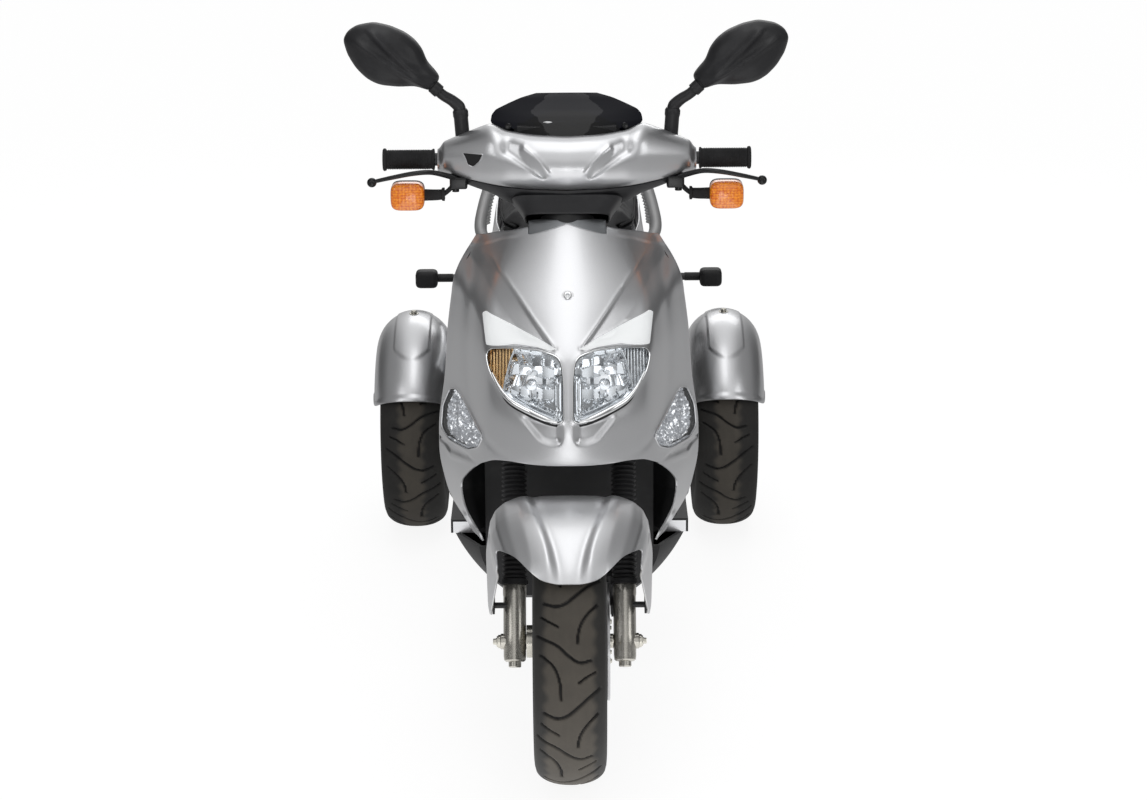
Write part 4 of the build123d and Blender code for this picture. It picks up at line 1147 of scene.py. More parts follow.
collar_half = 66
collar_x = np.linspace(-collar_half, collar_half, 67)
low = table(top_edge, np.abs(collar_x)) - 5
high = 881 - 4 * (np.abs(collar_x) / collar_half) ** 4
collar_rows = [skin(collar_x, low + share * (high - low), -3.5) for share in np.linspace(0, 1, 12)]
collar = thicken(grid("apron_collar", np.array(collar_rows), flip=True), 2.4, 0.5)
# its dark grey paint stands for the silver in the neck's shade
place(collar, "chassis", collar_grey)

screw_profile = [(0.1, 0.6), (2.4, 0.6), (2.6, 3.4), (3.4, 4.4), (5.6, 4.2), (6.6, 3.2), (6.8, 0.6),
                 (9.4, 0.6), (9.8, 0), (9.6, -2)]
screw = lathe("shield_screw", screw_profile, lifted(0, 779), (0, -0.80, 0.60), 32)
place(screw, "chassis", chrome)
print("brows, collar and screw placed")

# %% [markdown]
# ## Headlamps and marker lamps
# Each headlamp is a clear lens over a plastic bowl that was coated with aluminium in a vacuum.
# The bowl is divided into facets that throw the light forwards. A ribbed cell at the outer end
# holds the side light. The marker lamps have a pebbled bowl, and a clear lens too.

# %%
# Bowls, lenses and their trim
bulb_x, bulb_z = 60.0, 652.0
# z and x of the bar between the bowl and its outer cell
divider = [(632, 108), (659, 102.5), (686, 95), (703, 88)]


def facet_height(u, v, i, j, tilt, crown):
    """A tilted, slightly crowned facet; its tilt follows from its place in the pattern."""
    lean_u = np.sin(i * 12.9898 + j * 78.233) * tilt
    lean_v = np.sin(i * 39.346 + j * 11.135) * tilt
    return lean_u * u + lean_v * v + crown * (u * u + v * v)


def bowl(x, z, side):
    """The reflector: rings of facets, upright ribs at its inner end and in the outer cell."""
    ax = x * side
    radial = np.hypot((ax - bulb_x) / 1.15, z - bulb_z)
    depth = 13 + 24 * np.clip(1 - (radial / 66) ** 2, 0, 1)
    cell_x, cell_z = 19.0, 17.0
    i, j = np.floor((ax - 4) / cell_x), np.floor((z + 4) / cell_z)
    depth = depth + facet_height((ax - 4) / cell_x - i - 0.5, (z + 4) / cell_z - j - 0.5, i, j, 6.5, 3.0)
    inner = (ax < 23) & (z < 664)
    depth = np.where(inner, 12 + 1.6 * np.abs(np.sin(ax * np.pi / 5.2)), depth)
    foot = np.interp(ax, [8, 20, 53, 97, 112], [612, 609, 620, 637, 650]) - z
    depth = np.where((foot > 0) & ~inner, 9 + 0.35 * foot, depth)
    return skin(x, z, -np.where(ax > table(divider, z), 12, depth))


def wall(name, outline, near, far):
    """The side wall of a lamp's pocket, from lift near to lift far."""
    rings = [skin(*outline.T, lift) for lift in np.linspace(near, far, 4)]
    return grid(name, np.array(rings), wrap_v=True)


def pebbles(x, z, r):
    """Rows of small cushions, each tilted its own way, raised along the shield's own slope."""
    points = skin(x, z)
    cell_y, cell_z = 9.0, 8.0
    j = np.floor(z / cell_z)
    along_y = points[..., 1] / cell_y + 0.5 * j
    i = np.floor(along_y)
    rise = facet_height(along_y - i - 0.5, z / cell_z - j - 0.5, i, j, 5.0, 3.0)
    outward = np.stack([np.sign(x) * 0.92, -0.38 + 0 * x, 0 * x], -1)
    return points - outward * (9 + rise)[..., None]


def lamp_glass(name, outline, lift, bulge, node):
    """A clear lens with a little bulge over an outline."""
    glass = patch(name, outline, lambda x, z, r: skin(x, z, lift + bulge * (1 - r ** 2)), 16)
    place(thicken(glass, 1.6, 0), "chassis", lens_clear, [node])


def rim_of(name, outline, lift, radius, finish):
    """A thin bead along an outline on the shield."""
    rim = skin(*outline.T, lift)
    bead = tube(name, np.vstack([rim, rim[:1]]), radius, 8, smooth=False)
    place(bead, "chassis", finish)


def headlamp(name, side):
    """Lens, bowl, divider, trim and bulb of one headlamp."""
    outline = headlamp_outline * (side, 1)
    inner = grown(outline, -1.5)
    lamp_glass(f"headlamp_lens_{name}", inner, 0.5, 4.5, f"headlamp_{name}")
    dish = patch(f"headlamp_bowl_{name}", inner, lambda x, z, r: bowl(x, z, side), 64)
    crease(dish.data, 12)
    place(dish, "chassis", reflector)
    dish.data.materials.append(amber_cell if side < 0 else ribbed_cell)
    for face in dish.data.polygons:
        x, z = face.center.x * 1000 * side, face.center.z * 1000
        face.material_index = int(x > table(divider, z))
    place(wall(f"headlamp_wall_{name}", inner, -1, -20), "chassis", reflector)
    line = [skin(side * x, z, -6) for z, x in divider[:0:-1] + [(640, 106.5)]]
    place(tube(f"headlamp_divider_{name}", line, 1.7, 10), "chassis", chrome)
    rim_of(f"headlamp_rim_{name}", grown(outline, 0.6), 0.6, 1.5, chrome)
    low = np.array([(18, 597), (36, 601.5), (60, 610), (84, 619), (99, 627), (113, 641), (126, 661)])
    strip = skin(*(low * (side, 1)).T, 1.0) + (0, 0, 2.0)
    band = tube(f"headlamp_strip_{name}", strip, [2.6, 4.4, 4.8, 4.8, 4.4, 3.2, 2.0], 18)
    place(band, "chassis", chrome)
    gap = tube(f"headlamp_gap_{name}", strip + (0, 2.0, -6.4), [2.2, 3.2, 3.4, 3.4, 3.2, 2.4, 1.4], 12)
    place(gap, "chassis", black_plastic)
    seat = skin(side * bulb_x, bulb_z, -30)
    bulb_profile = [(0.1, -16), (5, -15), (6.5, -10), (6.5, 0), (9, 2), (9, 10)]
    glass = lathe(f"headlamp_bulb_{name}", bulb_profile, seat, (0, 1, 0), 24)
    place(glass, "chassis", bulb_glass)
    shade_profile = [(0.1, -25), (8, -24), (9.5, -18), (9.5, -15), (8.5, -15)]
    cap = lathe(f"headlamp_shade_{name}", shade_profile, seat, (0, 1, 0), 24)
    place(cap, "chassis", chrome)


def marker_lamp(name, side):
    """Lens, bowl and rim of one marker lamp."""
    outline = grown(marker_outline * (side, 1), -0.6)
    lamp_glass(f"marker_lens_{name}", outline, 1.5, 4.0, f"marker_lamp_{name}")
    dish = patch(f"marker_bowl_{name}", outline, pebbles, 56)
    crease(dish.data, 14)
    place(dish, "chassis", pebble_coat)
    place(wall(f"marker_wall_{name}", outline, -1, -13), "chassis", reflector)
    rim_of(f"marker_rim_{name}", grown(marker_outline * (side, 1), 0.8), 2.6, 1.3, silver)


for name, side in both_sides:
    headlamp(name, side)
    marker_lamp(name, side)

# %% [markdown]
# ## Tyres
# A tyre is cured in a mould whose pattern repeats round the wheel. One pitch of the tread is
# drawn dense, with its curved grooves, and Geometry Nodes repeats it, so all pitches match. Each
# point also carries how far it lies in the middle band and how deep in a groove it is, which the
# rubber's colour reads: the middle band is dusty and painted lighter where it faces the light, and
# the grooves are painted dark as shade.

# %%
# One pitch, then the whole tyre
pitch_count = 8
pitch_length = 185.0
groove_depth = 3.6
# across and along the tread, with the groove's half width
grooves = [
    ([(-34, 37), (-16, 40), (2, 29), (20, 13), (42, 3), (56, -3)], 2.7),
    ([(14, 101), (16, 73), (25, 48), (42, 33), (50, 29)], 2.4),
    ([(-42, 57), (-27, 64), (-14, 73)], 2.0),
    ([(-50, 86), (-31, 99), (-13, 115), (5, 130), (22, 135), (42, 129)], 2.9),
    ([(-46, 131), (-27, 150), (-16, 170), (-12, 194)], 2.4),
    ([(18, 168), (31, 161), (48, 151)], 2.0),
]


def tyre_profile(width, radius, rim_radius, bead, count):
    """Half widths and radii along the outside, from bead to bead, and the arc from the middle."""
    height = radius - rim_radius
    half = [(bead, rim_radius + 1), (bead + 1.5, rim_radius + 9), (width / 2 - 5, rim_radius + 0.26 * height),
            (width / 2, rim_radius + 0.5 * height), (width / 2 - 2.6, rim_radius + 0.66 * height)]
    x0, r0 = half[-1]
    turn = np.linspace(0, math.pi / 2, 12)[1:]
    half += [(x0 * math.cos(a) ** 0.92, r0 + (radius - r0) * math.sin(a) ** 1.06) for a in turn]
    p = np.array(half + [(-x, r) for x, r in reversed(half[:-1])], float)
    s = np.concatenate([[0], np.cumsum(np.linalg.norm(np.diff(p, axis=0), axis=1))])
    tread = s[-1] / 2 + np.linspace(-1, 1, count) * (s[-1] / 2 - 46)
    side = np.linspace(0, tread[0], 14)[:-1]
    at = np.concatenate([side, tread, s[-1] - side[::-1]])
    q = soften(np.stack([np.interp(at, s, p[:, k]) for k in range(2)], -1), 1.2)
    return q, at - s[-1] / 2


def groove_map(a, b):
    """1 in a groove, 0 on the rubber between, at across a and along b."""
    deep = np.zeros(a.shape)
    for line, half_width in grooves:
        line = spline(line, 24)
        for shift in (-pitch_length, 0.0, pitch_length):
            d = distance(line + (0, shift), a, b)
            deep = np.maximum(deep, 1 - step(d, half_width * 0.6, half_width * 0.5))
    return deep


def make_tyre(node, centre, width, radius, rim_radius, bead, hand, body, across_count, round_count,
              worn_and_lit_half=33):
    """A tyre with its tread; hand mirrors the pattern, the last argument is half the band of dust and painted
    light.
    """
    profile, arc = tyre_profile(width, radius, rim_radius, bead, across_count)
    angle = np.linspace(0, 2 * math.pi / pitch_count, round_count + 1)
    a, b = np.meshgrid(arc * (120.0 / width) * hand, angle / angle[-1] * pitch_length, indexing="ij")
    deep = groove_map(a, (b + pitch_length / 2) % pitch_length)
    normal = np.stack([np.gradient(profile[:, 1]), -np.gradient(profile[:, 0])], -1)
    normal /= np.linalg.norm(normal, axis=1)[:, None]
    normal *= np.sign(normal[len(normal) // 2, 1])
    rings = 0.8 * hump(profile[:, 1] - rim_radius - 20, 2.0) + 0.6 * hump(profile[:, 1] - radius + 32, 1.5)
    out = rings[:, None] - groove_depth * deep
    px = profile[:, 0, None] + normal[:, 0, None] * out
    pr = profile[:, 1, None] + normal[:, 1, None] * out
    points = np.stack([px, pr * np.sin(angle), -pr * np.cos(angle)], -1) + np.array(centre)
    tyre = grid(f"{node}_tread", points, flip=True, sharp=50)
    turn = b * 2 * math.pi / pitch_length
    worn = 1 - step(np.abs(a) + 2.5 * np.sin(6 * turn) + 1.5 * np.sin(3 * turn + 1.0), worn_and_lit_half, 14)
    # these marks carry the painted light of the middle band and the painted shade of the grooves
    for name, values in (("groove", deep), ("worn", worn)):
        mark = tyre.data.attributes.new(name, "FLOAT", "POINT")
        mark.data.foreach_set("value", values.ravel().astype(np.float32))
    around(tyre, pitch_count, centre, tyre_black, weld=0.2)
    crease(tyre.data, 50)
    return place(tyre, body, None, [node])


front_tyre = make_tyre("front_tyre", (0, 0, axle_height), 120, 236, 152.4, 46, 1, "front_wheel", 76, 96)
for name, side in both_sides:
    make_tyre(f"rear_tyre_{name}", rear_centre(side), 130, 218, 127, 50, side, f"rear_wheel_{name}",
              60, 80, 15)
print("tyre faces", len(front_tyre.data.polygons))

# %% [markdown]
# ## Front mudguard
# A hood of painted plastic that turns with the fork. Its sides run down as two pointed blades
# outside the fork legs, and a channel between two creases narrows towards the front. Each column
# of the surface starts at the top and runs forwards until it meets the lower edge.

# %%
# Hood and blades
hood_plan = [(-215, 92), (-180, 97), (-150, 102), (-130, 108), (-110, 115), (-92, 121), (-70, 127),
             (-50, 131), (10, 134)]
blade_plan = [(-140, 101), (-111, 108), (-60, 116), (-46, 120), (3, 131), (26, 135.5), (46, 138)]
# share of the half width, drop below the crown
hood_section = np.array([(0, 0), (0.35, 1), (0.6, 6), (0.78, 14), (0.9, 26), (0.965, 45), (0.99, 70),
                         (1, 100), (1, 206)])
lip_line = [(0, 403), (19, 402.5), (47, 407), (70, 420), (84, 430), (96, 431), (140, 424)]
blade_front = [(281, 4), (372, -60), (412, -124), (424, -160)]
blade_rear = [(281, 22), (372, 46), (425, 38), (440, 6)]
crease_plan = [(-185, 20), (-165, 24), (-140, 30), (-110, 39), (-60, 53), (0, 64), (40, 67)]


def fender_point(u, angle):
    """A point of the hood: u along the section from the middle, angle back from the top."""
    s = np.concatenate([[0], np.cumsum(np.hypot(*(np.diff(hood_section, axis=0) * (131, 1)).T))])
    share, drop = (np.interp(abs(u) * s[-1], s, hood_section[:, k]) for k in range(2))
    r = 252.0 - drop
    y, z = r * np.sin(angle), axle_height + r * np.cos(angle)
    low = step(drop, 52, 60)
    half = table(hood_plan, y) * (1 - low) + table(blade_plan, y) * low
    return np.stack([math.copysign(share, u) * half, y, z], -1), drop


def column_ends(u):
    """The angles where a column starts at the rear and ends at the lower edge."""
    reach = np.radians(np.linspace(60, -95, 312))
    points, drop = fender_point(u, reach)
    x, y, z = points.T
    rear = table(blade_rear, z) if drop > 30 else 6.0
    ahead = y < table(blade_front, z) if drop > 52 else z < table(lip_line, np.abs(x))
    good = (y <= rear) & ~ahead & (z > 281)
    if not good.any():
        return None
    start = int(np.argmax(good))
    stop = start + int(np.argmin(np.append(good[start:], False)))
    return reach[start], reach[stop - 1]


def fender_relief(x, y):
    """Raised shoulders beside a channel that narrows towards the front."""
    edge = np.abs(x) - table(crease_plan, y)
    fade = step(y, -212, 60)
    return (4.4 * step(edge, -7, 15) * (1 - step(edge, 14, 60)) - 0.7 * hump(edge + 6, 8)) * fade


hood_u = np.linspace(-1, 1, 241)
ends = [column_ends(u) for u in hood_u]
last = max(k for k, e in enumerate(ends) if e is not None and hood_u[k] > 0)
first = len(hood_u) - 1 - last
starts = soften(np.array([ends[k][0] for k in range(first, last + 1)]), 3)
stops = soften(np.array([ends[k][1] for k in range(first, last + 1)]), 3)
columns = []
for k, (a, b) in enumerate(zip(starts, stops)):
    columns.append(fender_point(hood_u[first + k], np.linspace(b, a, 97))[0])
points = np.array(columns).transpose(1, 0, 2)
outward = (points - np.array([0, 0, axle_height])) * (0.5, 1, 1)
outward /= np.linalg.norm(outward, axis=-1)[..., None]
points += outward * (fender_relief(points[..., 0], points[..., 1]) * step(points[..., 2], 395, 20))[..., None]
points = soften(points, 1.0, axis=1)
fender = thicken(grid("front_fender_shell", points, flip=True, sharp=50), 2.6, 0.5)
place(fender, "steering", silver, ["front_fender"])
tip = points[..., 2].min()
print("front mudguard", len(fender.data.polygons), "faces, lowest point", round(float(tip)))

# %% [markdown]
# ## Rear mudguards
# Each rear wheel has its own half-round hood, bolted to a plate that rises from the axle tube.
# A shallow panel with a rounded end is pressed into its back, and both ends are folded to a lip.


# %%
# Rear hoods
def rear_hood(name, side, wall_radius=78.0, hood_radius=234.0):
    """The hood over one rear wheel."""
    centre_r = hood_radius - wall_radius
    across = np.linspace(-90, 90, 121)
    points = []
    corner = 1 - np.sqrt(1 - step(np.abs(across), 60, 30) ** 2 * 0.999)
    for back in np.linspace(-63, 61, 141):
        lip = step(-back, 59.5, 1.6) + step(back, 57.5, 1.6)
        rounded_end = step(back - 0.011 * across ** 2, -41.5, 2.5)
        panel = 1.8 * (1 - step(np.abs(across), 25, 4)) * rounded_end * (1 - step(back, 18, 4))
        w = wall_radius + panel + 1.6 * lip
        a, t = np.radians(across), np.radians(back * (1 - 0.17 * corner))
        x, r = w * np.sin(a), centre_r + w * np.cos(a)
        points.append(np.stack([x, r * np.sin(t), r * np.cos(t)], -1))
    points = np.array(points) + rear_centre(side)
    hood = thicken(grid(f"rear_fender_{name}_hood", points, flip=True, sharp=60), 2.8, 0.6)
    place(hood, "chassis", silver, [f"rear_fender_{name}"])


for name, side in both_sides:
    rear_hood(name, side)
    top = [(10, -1), (10, 1.4), (6, 1.8), (6, 6), (5, 7), (0.1, 7)]
    bolt = lathe(f"rear_fender_{name}_bolt", top, rear_centre(side) + (0, 0, 234.8), (0, 0, 1), 24)
    place(bolt, "chassis", zinc)
    foot = np.array([(-26, 34), (-64, 150), (-52, 172), (52, 172), (64, 150), (26, 34)])
    foot = rounded([tuple(p + (wheelbase, rear_axle_height)) for p in foot], 60, 1.2)
    stay = plate(f"rear_fender_{name}_stay", foot, "x", *sorted((side * 239, side * 244)))
    place(stay, "chassis", frame_paint)
print("rear mudguards placed")

# %% [markdown]
# ## Handlebar cover
# Two plastic halves screwed together hide the bar and carry the dials. The front half is
# painted and rises into a shoulder on each side, below the mirrors. Two scoops are pressed into it
# under the screen. The rear half is black, and shows as a dark edge under the front one.

# %%
# Front and rear halves
# x, then y and z of the top edge, the nose, the bottom edge and the rear
bar_y, bar_z = 390.0, 968.0
cover_rows = [
    (0, 345, 1014, 284, 954, 306, 931, 446, 972),
    (60, 350, 1016, 288, 955, 310, 932, 444, 972),
    (104, 364, 1021, 299, 958, 321, 934, 440, 971),
    (128, 384, 1030, 309, 961, 332, 936, 438, 970),
    (158, 392, 1016, 325, 963, 346, 940, 431, 968),
    (198, 400, 996, 348, 966, 370, 946, 424, 965),
    (221, 404, 984, 362, 967, 382, 949, 420, 964),
]
scoop_core = np.array([(98, 1003), (86, 996), (66, 981), (46, 964), (40, 958)])
scoop_ridge = np.array([(72, 1004), (58, 994), (44, 980), (33, 964)])


def through(a, b, c, count):
    """Points on the arcs through a, b and c, for arrays of (y, z) rows."""
    p, q = b - a, c - a
    cross = 2 * (p[:, 0] * q[:, 1] - p[:, 1] * q[:, 0])
    pp, qq = (p ** 2).sum(1), (q ** 2).sum(1)
    centre = a + np.stack([q[:, 1] * pp - p[:, 1] * qq, p[:, 0] * qq - q[:, 0] * pp], -1) / cross[:, None]
    radius = np.linalg.norm(a - centre, axis=1)
    start, turn = np.arctan2(*(a - centre).T[::-1]), np.arctan2(*(c - centre).T[::-1])
    turn = (turn - start + np.pi) % (2 * np.pi) - np.pi
    through_b = (np.arctan2(*(b - centre).T[::-1]) - start + np.pi) % (2 * np.pi) - np.pi
    turn = np.where(np.sign(through_b) == np.sign(turn), turn, turn - 2 * np.pi * np.sign(turn))
    angle = start + np.linspace(0, 1, count)[:, None] * turn
    return centre + radius[:, None] * np.stack([np.cos(angle), np.sin(angle)], -1)


def cover_points(count, front):
    """The front or rear half as a grid from the top edge to the bottom edge."""
    x = np.linspace(-221, 221, 261)
    rows = soften(along(cover_rows, np.abs(x)), 4)
    top, nose, low, rear = (rows[:, k:k + 2] for k in (0, 2, 4, 6))
    inner = (top + (0.6, 0), rear, low + (0.6, -1.5))
    curve = through(*((top, nose, low) if front else inner), count)
    points = np.stack([np.broadcast_to(x, curve.shape[:2]), curve[..., 0], curve[..., 1]], -1)
    middle = np.array([0, bar_y, bar_z - 2.0])
    close = step(np.abs(x), 205, 16)[None, :, None]
    toward = points - middle
    reach = np.linalg.norm(toward[..., 1:], axis=-1, keepdims=True)
    rim = middle + toward * (1, 0, 0) + toward * (0, 1, 1) * (20.0 / reach)
    return points * (1 - close ** 2) + rim * close ** 2


def scoops(x, z):
    """Two scoops beside the middle, each with a raised inner edge."""
    ax = np.abs(x)
    d = distance(scoop_core, ax, z)
    width = np.interp(z, [958, 1003], [5, 13])
    return -7.5 * hump(d / width, 1.0) + 3.0 * hump(distance(scoop_ridge, ax, z), 5.0)


points = cover_points(73, True)
relief = scoops(points[..., 0], points[..., 2]) * step(points[..., 2], 950, 12)
points += relief[..., None] * np.array([0, -0.85, 0.5])
cover = thicken(grid("cover_front_shell", points, sharp=50), 2.8, 0.6)
place(cover, "steering", silver, ["cover_front"])
shell = thicken(grid("cover_rear_shell", cover_points(53, False), flip=True, sharp=50), 2.6, 0.4)
place(shell, "steering", dark_plastic, ["cover_rear"])
print("cover faces", len(cover.data.polygons))

# %%
# The opening in the cover, the neck and the dials
slot_outline = rounded([(-177, 991), (-141, 992), (-147, 979), (-158, 968), (-168, 971), (-171, 981)],
                       60, 1.2)


def on_cover(x, z, lift):
    """A point on the front half at (x, z), lifted forwards."""
    rows = along(cover_rows, np.abs(np.asarray(x, float)).ravel())
    y = []
    for row, level in zip(rows, np.asarray(z, float).ravel()):
        curve = through(row[None, 0:2], row[None, 2:4], row[None, 4:6], 60)[:, 0]
        y.append(np.interp(-level, -curve[:, 1], curve[:, 0]))
    return np.stack([x, np.array(y).reshape(np.shape(x)) - lift, z], -1)


slot = patch("cover_slot", slot_outline, lambda x, z, r: on_cover(x, z, 0.8), 5)
place(slot, "steering", black_plastic)
slot_rim = tube("cover_slot_rim", on_cover(*slot_outline.T, 0.8), 1.1, 8, smooth=False)
place(slot_rim, "steering", silver)

# row, level along the stem, half width, half depth
neck_rows = [(0, 720.5, 72, 42), (1, 723, 74, 43.5), (2, 730, 77, 45), (3, 740, 84, 47), (4, 752, 94, 50)]
turns = np.linspace(0, 2 * np.pi, 96, endpoint=False)
squared = [np.copysign(np.abs(wave) ** power, wave)
           for wave, power in ((np.cos(turns), 0.35), (np.sin(turns), 0.5))]
neck_points = [np.stack(fork(wide * squared[0], steering_offset - 6 + deep * squared[1], level), -1)
               for level, wide, deep in along(neck_rows, np.linspace(0, 4, 25))]
neck = thicken(grid("neck_shell", np.array(neck_points), wrap_v=True, flip=True), 2.5, 0.5)
place(neck, "steering", dark_plastic, ["neck_cover"])
boot = lathe("neck_boot", [(30, 684), (49, 684), (49, 688), (46, 692), (46, 724), (30, 724)],
             fork(0, steering_offset, 0), stem_way, 72)
place(boot, "steering", black_plastic)

dial_way = np.array([0, 0.18, 0.984])
dials = (("speed", (-30, 393, 1028.6), 28), ("fuel", (36, 393, 1028.6), 21))
for name, at, radius in dials:
    section = [(radius, -4), (radius, 2), (radius - 2, 3.4), (radius - 3, 2), (radius - 3.4, 0)]
    bezel = lathe(f"dial_{name}_bezel", section, at, dial_way, 64)
    place(bezel, "steering", chrome)
    face = lathe(f"dial_{name}_face", [(radius - 2.6, -1), (radius - 2.6, 1.0), (0.1, 1.0)], at, dial_way, 64)
    place(face, "steering", black_plastic)
    ends = np.array(at) + [(0, 0, 2), (-radius * 0.6, 6, 1.4)]
    needle = tube(f"dial_{name}_needle", ends, [1.4, 0.5], 8)
    place(needle, "steering", red)
print("slot, neck and dials placed")

# %% [markdown]
# ## Screen
# A short smoked acrylic screen stands behind the cover's top edge. It was cut from sheet and bent
# over a former while hot, so it curves only one way and keeps its thickness to the edge.

# %%
# Screen
# z, half width, y at the side, y at the centre
visor_rows = [(1013, 107, 366, 346), (1020, 118, 374, 351), (1034, 130, 388, 364), (1044, 128, 397, 375),
              (1052, 121, 402, 386), (1062, 98, 409, 396), (1070, 78, 414, 404), (1076.5, 52, 420, 412)]
share = np.linspace(-1, 1, 121)
levels = np.linspace(1013, 1076.5, 61)
screen = []
for z, (half, side_y, centre_y) in zip(levels, along(visor_rows, levels)):
    crest = 1.8 * step(z, 1060, 16) * (1 - share ** 2)
    screen.append(np.stack([share * half, centre_y + (side_y - centre_y) * share ** 2, z + crest], -1))
screen = thicken(grid("visor_screen", soften(np.array(screen), 1.2), flip=True, sharp=60), 2.4, 0.5)
place(screen, "steering", smoked, ["visor"])
for name, side in both_sides:
    fixing = lathe(f"visor_screw_{name}", [(5.4, -2), (5.4, 1), (4, 2.6), (0.1, 3)], (side * 99, 362, 1030),
                   (side * 0.3, -0.8, 0.5), 20)
    place(fixing, "steering", gloss_black)
print("screen placed")

# %% [markdown]
# ## Mirrors
# Each mirror is a leaf-shaped housing of grained plastic on a two-part arm: an upright post that
# screws into the cover, and a bent stem with a collar at each end. Two ridges stiffen the back of
# the housing. The glass lies inside its rim, on the rider's side.

# %%
# Mirrors
leaf_points = [(214, 1109), (224, 1123), (236, 1136), (244, 1158), (256, 1174), (273, 1187), (298, 1198),
               (325, 1204), (354, 1199), (370, 1189), (378, 1175), (371, 1150), (358, 1128), (342, 1111),
               (328, 1102), (314, 1097), (285, 1094), (256, 1095), (240, 1090), (230, 1086), (221, 1097)]
mirror_y = 388.0
mirror_axis = np.array([math.cos(math.radians(36)), math.sin(math.radians(36))])


def leaf_shell(name, outline, depths, ridge):
    """A shell over the leaf: (share of the outline, y) rows, with ridges along its back."""
    centre = outline.mean(axis=0)
    rows = np.array(depths, float)
    fine = np.linspace(0, len(rows) - 1, 8 * len(rows))
    shares, backs = (np.interp(fine, np.arange(len(rows)), rows[:, k]) for k in (0, 1))
    flat = centre + (outline[None] - centre) * shares[:, None, None]
    y = np.broadcast_to(backs[:, None], flat.shape[:2]).copy()
    rel = flat - centre
    lengthwise = rel @ mirror_axis
    across = rel @ np.array([-mirror_axis[1], mirror_axis[0]])
    ribs = hump(across - 13 - 0.14 * lengthwise, 6.5) + 0.9 * hump(across + 6 + 0.02 * lengthwise, 6.0)
    fade = (1 - step(np.abs(lengthwise - 6), 42, 40)) * step(-y, 10, 14)
    y -= ridge * ribs * fade
    points = np.stack([flat[..., 0], mirror_y + y, flat[..., 1]], -1)
    return grid(name, soften(points, 2.0), wrap_v=True, sharp=60, caps=True)


leaf = rounded(leaf_points, 150, 1.8)
post_foot, elbow, joint = np.array([(177, 390, 996.0), (181, 390, 1053), (222, 386, 1091)])
housing_rows = [(1.0, 10), (1.0, 4), (0.985, -4), (0.93, -12), (0.80, -21), (0.6, -28), (0.3, -32),
                (0.03, -33)]
post_profile = [(12.5, 0), (13, 3), (12.2, 6), (12.2, 44), (13.2, 47), (13.2, 55), (11, 59), (0.1, 60)]
stem_path = [elbow, elbow + (3, 0, 7), elbow + (14, -1, 17), joint - (12, 0, 11), joint]
collar_profile = [(9, -9), (11.6, -8), (11.6, 6), (9.6, 8), (9.6, 22)]
for name, side in both_sides:
    housing = leaf_shell("housing", leaf, housing_rows, 8.0)
    post = lathe("post", post_profile, post_foot, elbow - post_foot, 36)
    stem = tube("stem", stem_path, [10, 10.5, 9.6, 9, 9], 28)
    collar = lathe("collar", collar_profile, joint, (0.73, 0, 0.68), 32)
    body = join(f"mirror_{name}_body", [housing, post, stem, collar])
    glass = patch(f"mirror_glass_{name}", grown(leaf, -4.0), lambda x, z, r: np.stack(
        [x, mirror_y + 11.4 - 0.8 * r ** 2, z], -1), 12, back=True)
    if side < 0:
        body = other_side(body, "mirror_right_body", keep=False)
        glass = other_side(glass, "mirror_glass_right", keep=False)
    place(body, "steering", dark_plastic, [f"mirror_{name}"])
    place(glass, "steering", mirror_face, ["mirror_glasses"] if side > 0 else ())
print("mirrors placed")

# %% [markdown]
# ## Indicators, levers and grips
# The indicators are amber blocks on short rubber stalks, which bend when they are knocked. The
# levers are forged, end in a ball so that a hand can't slip off, and pivot in black perches under
# the cover. Rings moulded round the rubber grips are one ring, repeated.


# %%
# Indicators
def cushion_block(name, levels):
    """A rounded box from levels of (share of the outline, y)."""
    outline = rounded([(243, 894), (243, 930), (250, 935.5), (294, 935.5), (301, 930), (301, 894),
                       (294, 888.5), (250, 888.5)], 72, 2.4)
    centre = np.array([272, 912])
    rings = []
    for grow, y in levels:
        flat = centre + (outline - centre) * grow
        rings.append(np.stack([flat[:, 0], np.full(len(flat), y), flat[:, 1]], -1))
    return grid(name, np.array(rings), wrap_v=True, caps=True)


lens = cushion_block("indicator_lens", [(1.0, 361), (1.0, 349), (0.985, 343), (0.93, 338.4), (0.82, 336),
                                        (0.4, 334.6), (0.05, 334.4)])
place_pair(lens, "steering", amber, ["front_indicators"])
back = cushion_block("indicator_back", [(1.0, 361), (0.99, 374), (0.94, 379), (0.8, 381), (0.05, 381)])
place_pair(back, "steering", black_plastic)
stalk_path = [(246, 362, 912), (238, 362, 912), (224, 362, 912), (209, 362, 913)]
holder = [tube("stalk", stalk_path, [10.2, 9.8, 9.4, 8.6], 24),
          lathe("flange", [(11.5, 0), (11.5, 4), (9, 5.5)], (209, 362, 913), (1, 0, 0), 28),
          tube("stay", [(211, 362, 913), (203, 363, 919), (194, 364, 928)], 4.2, 12)]
place_pair(join("indicator_holder", holder), "steering", soft_rubber, ["indicator_stalks"])
print("indicators placed")

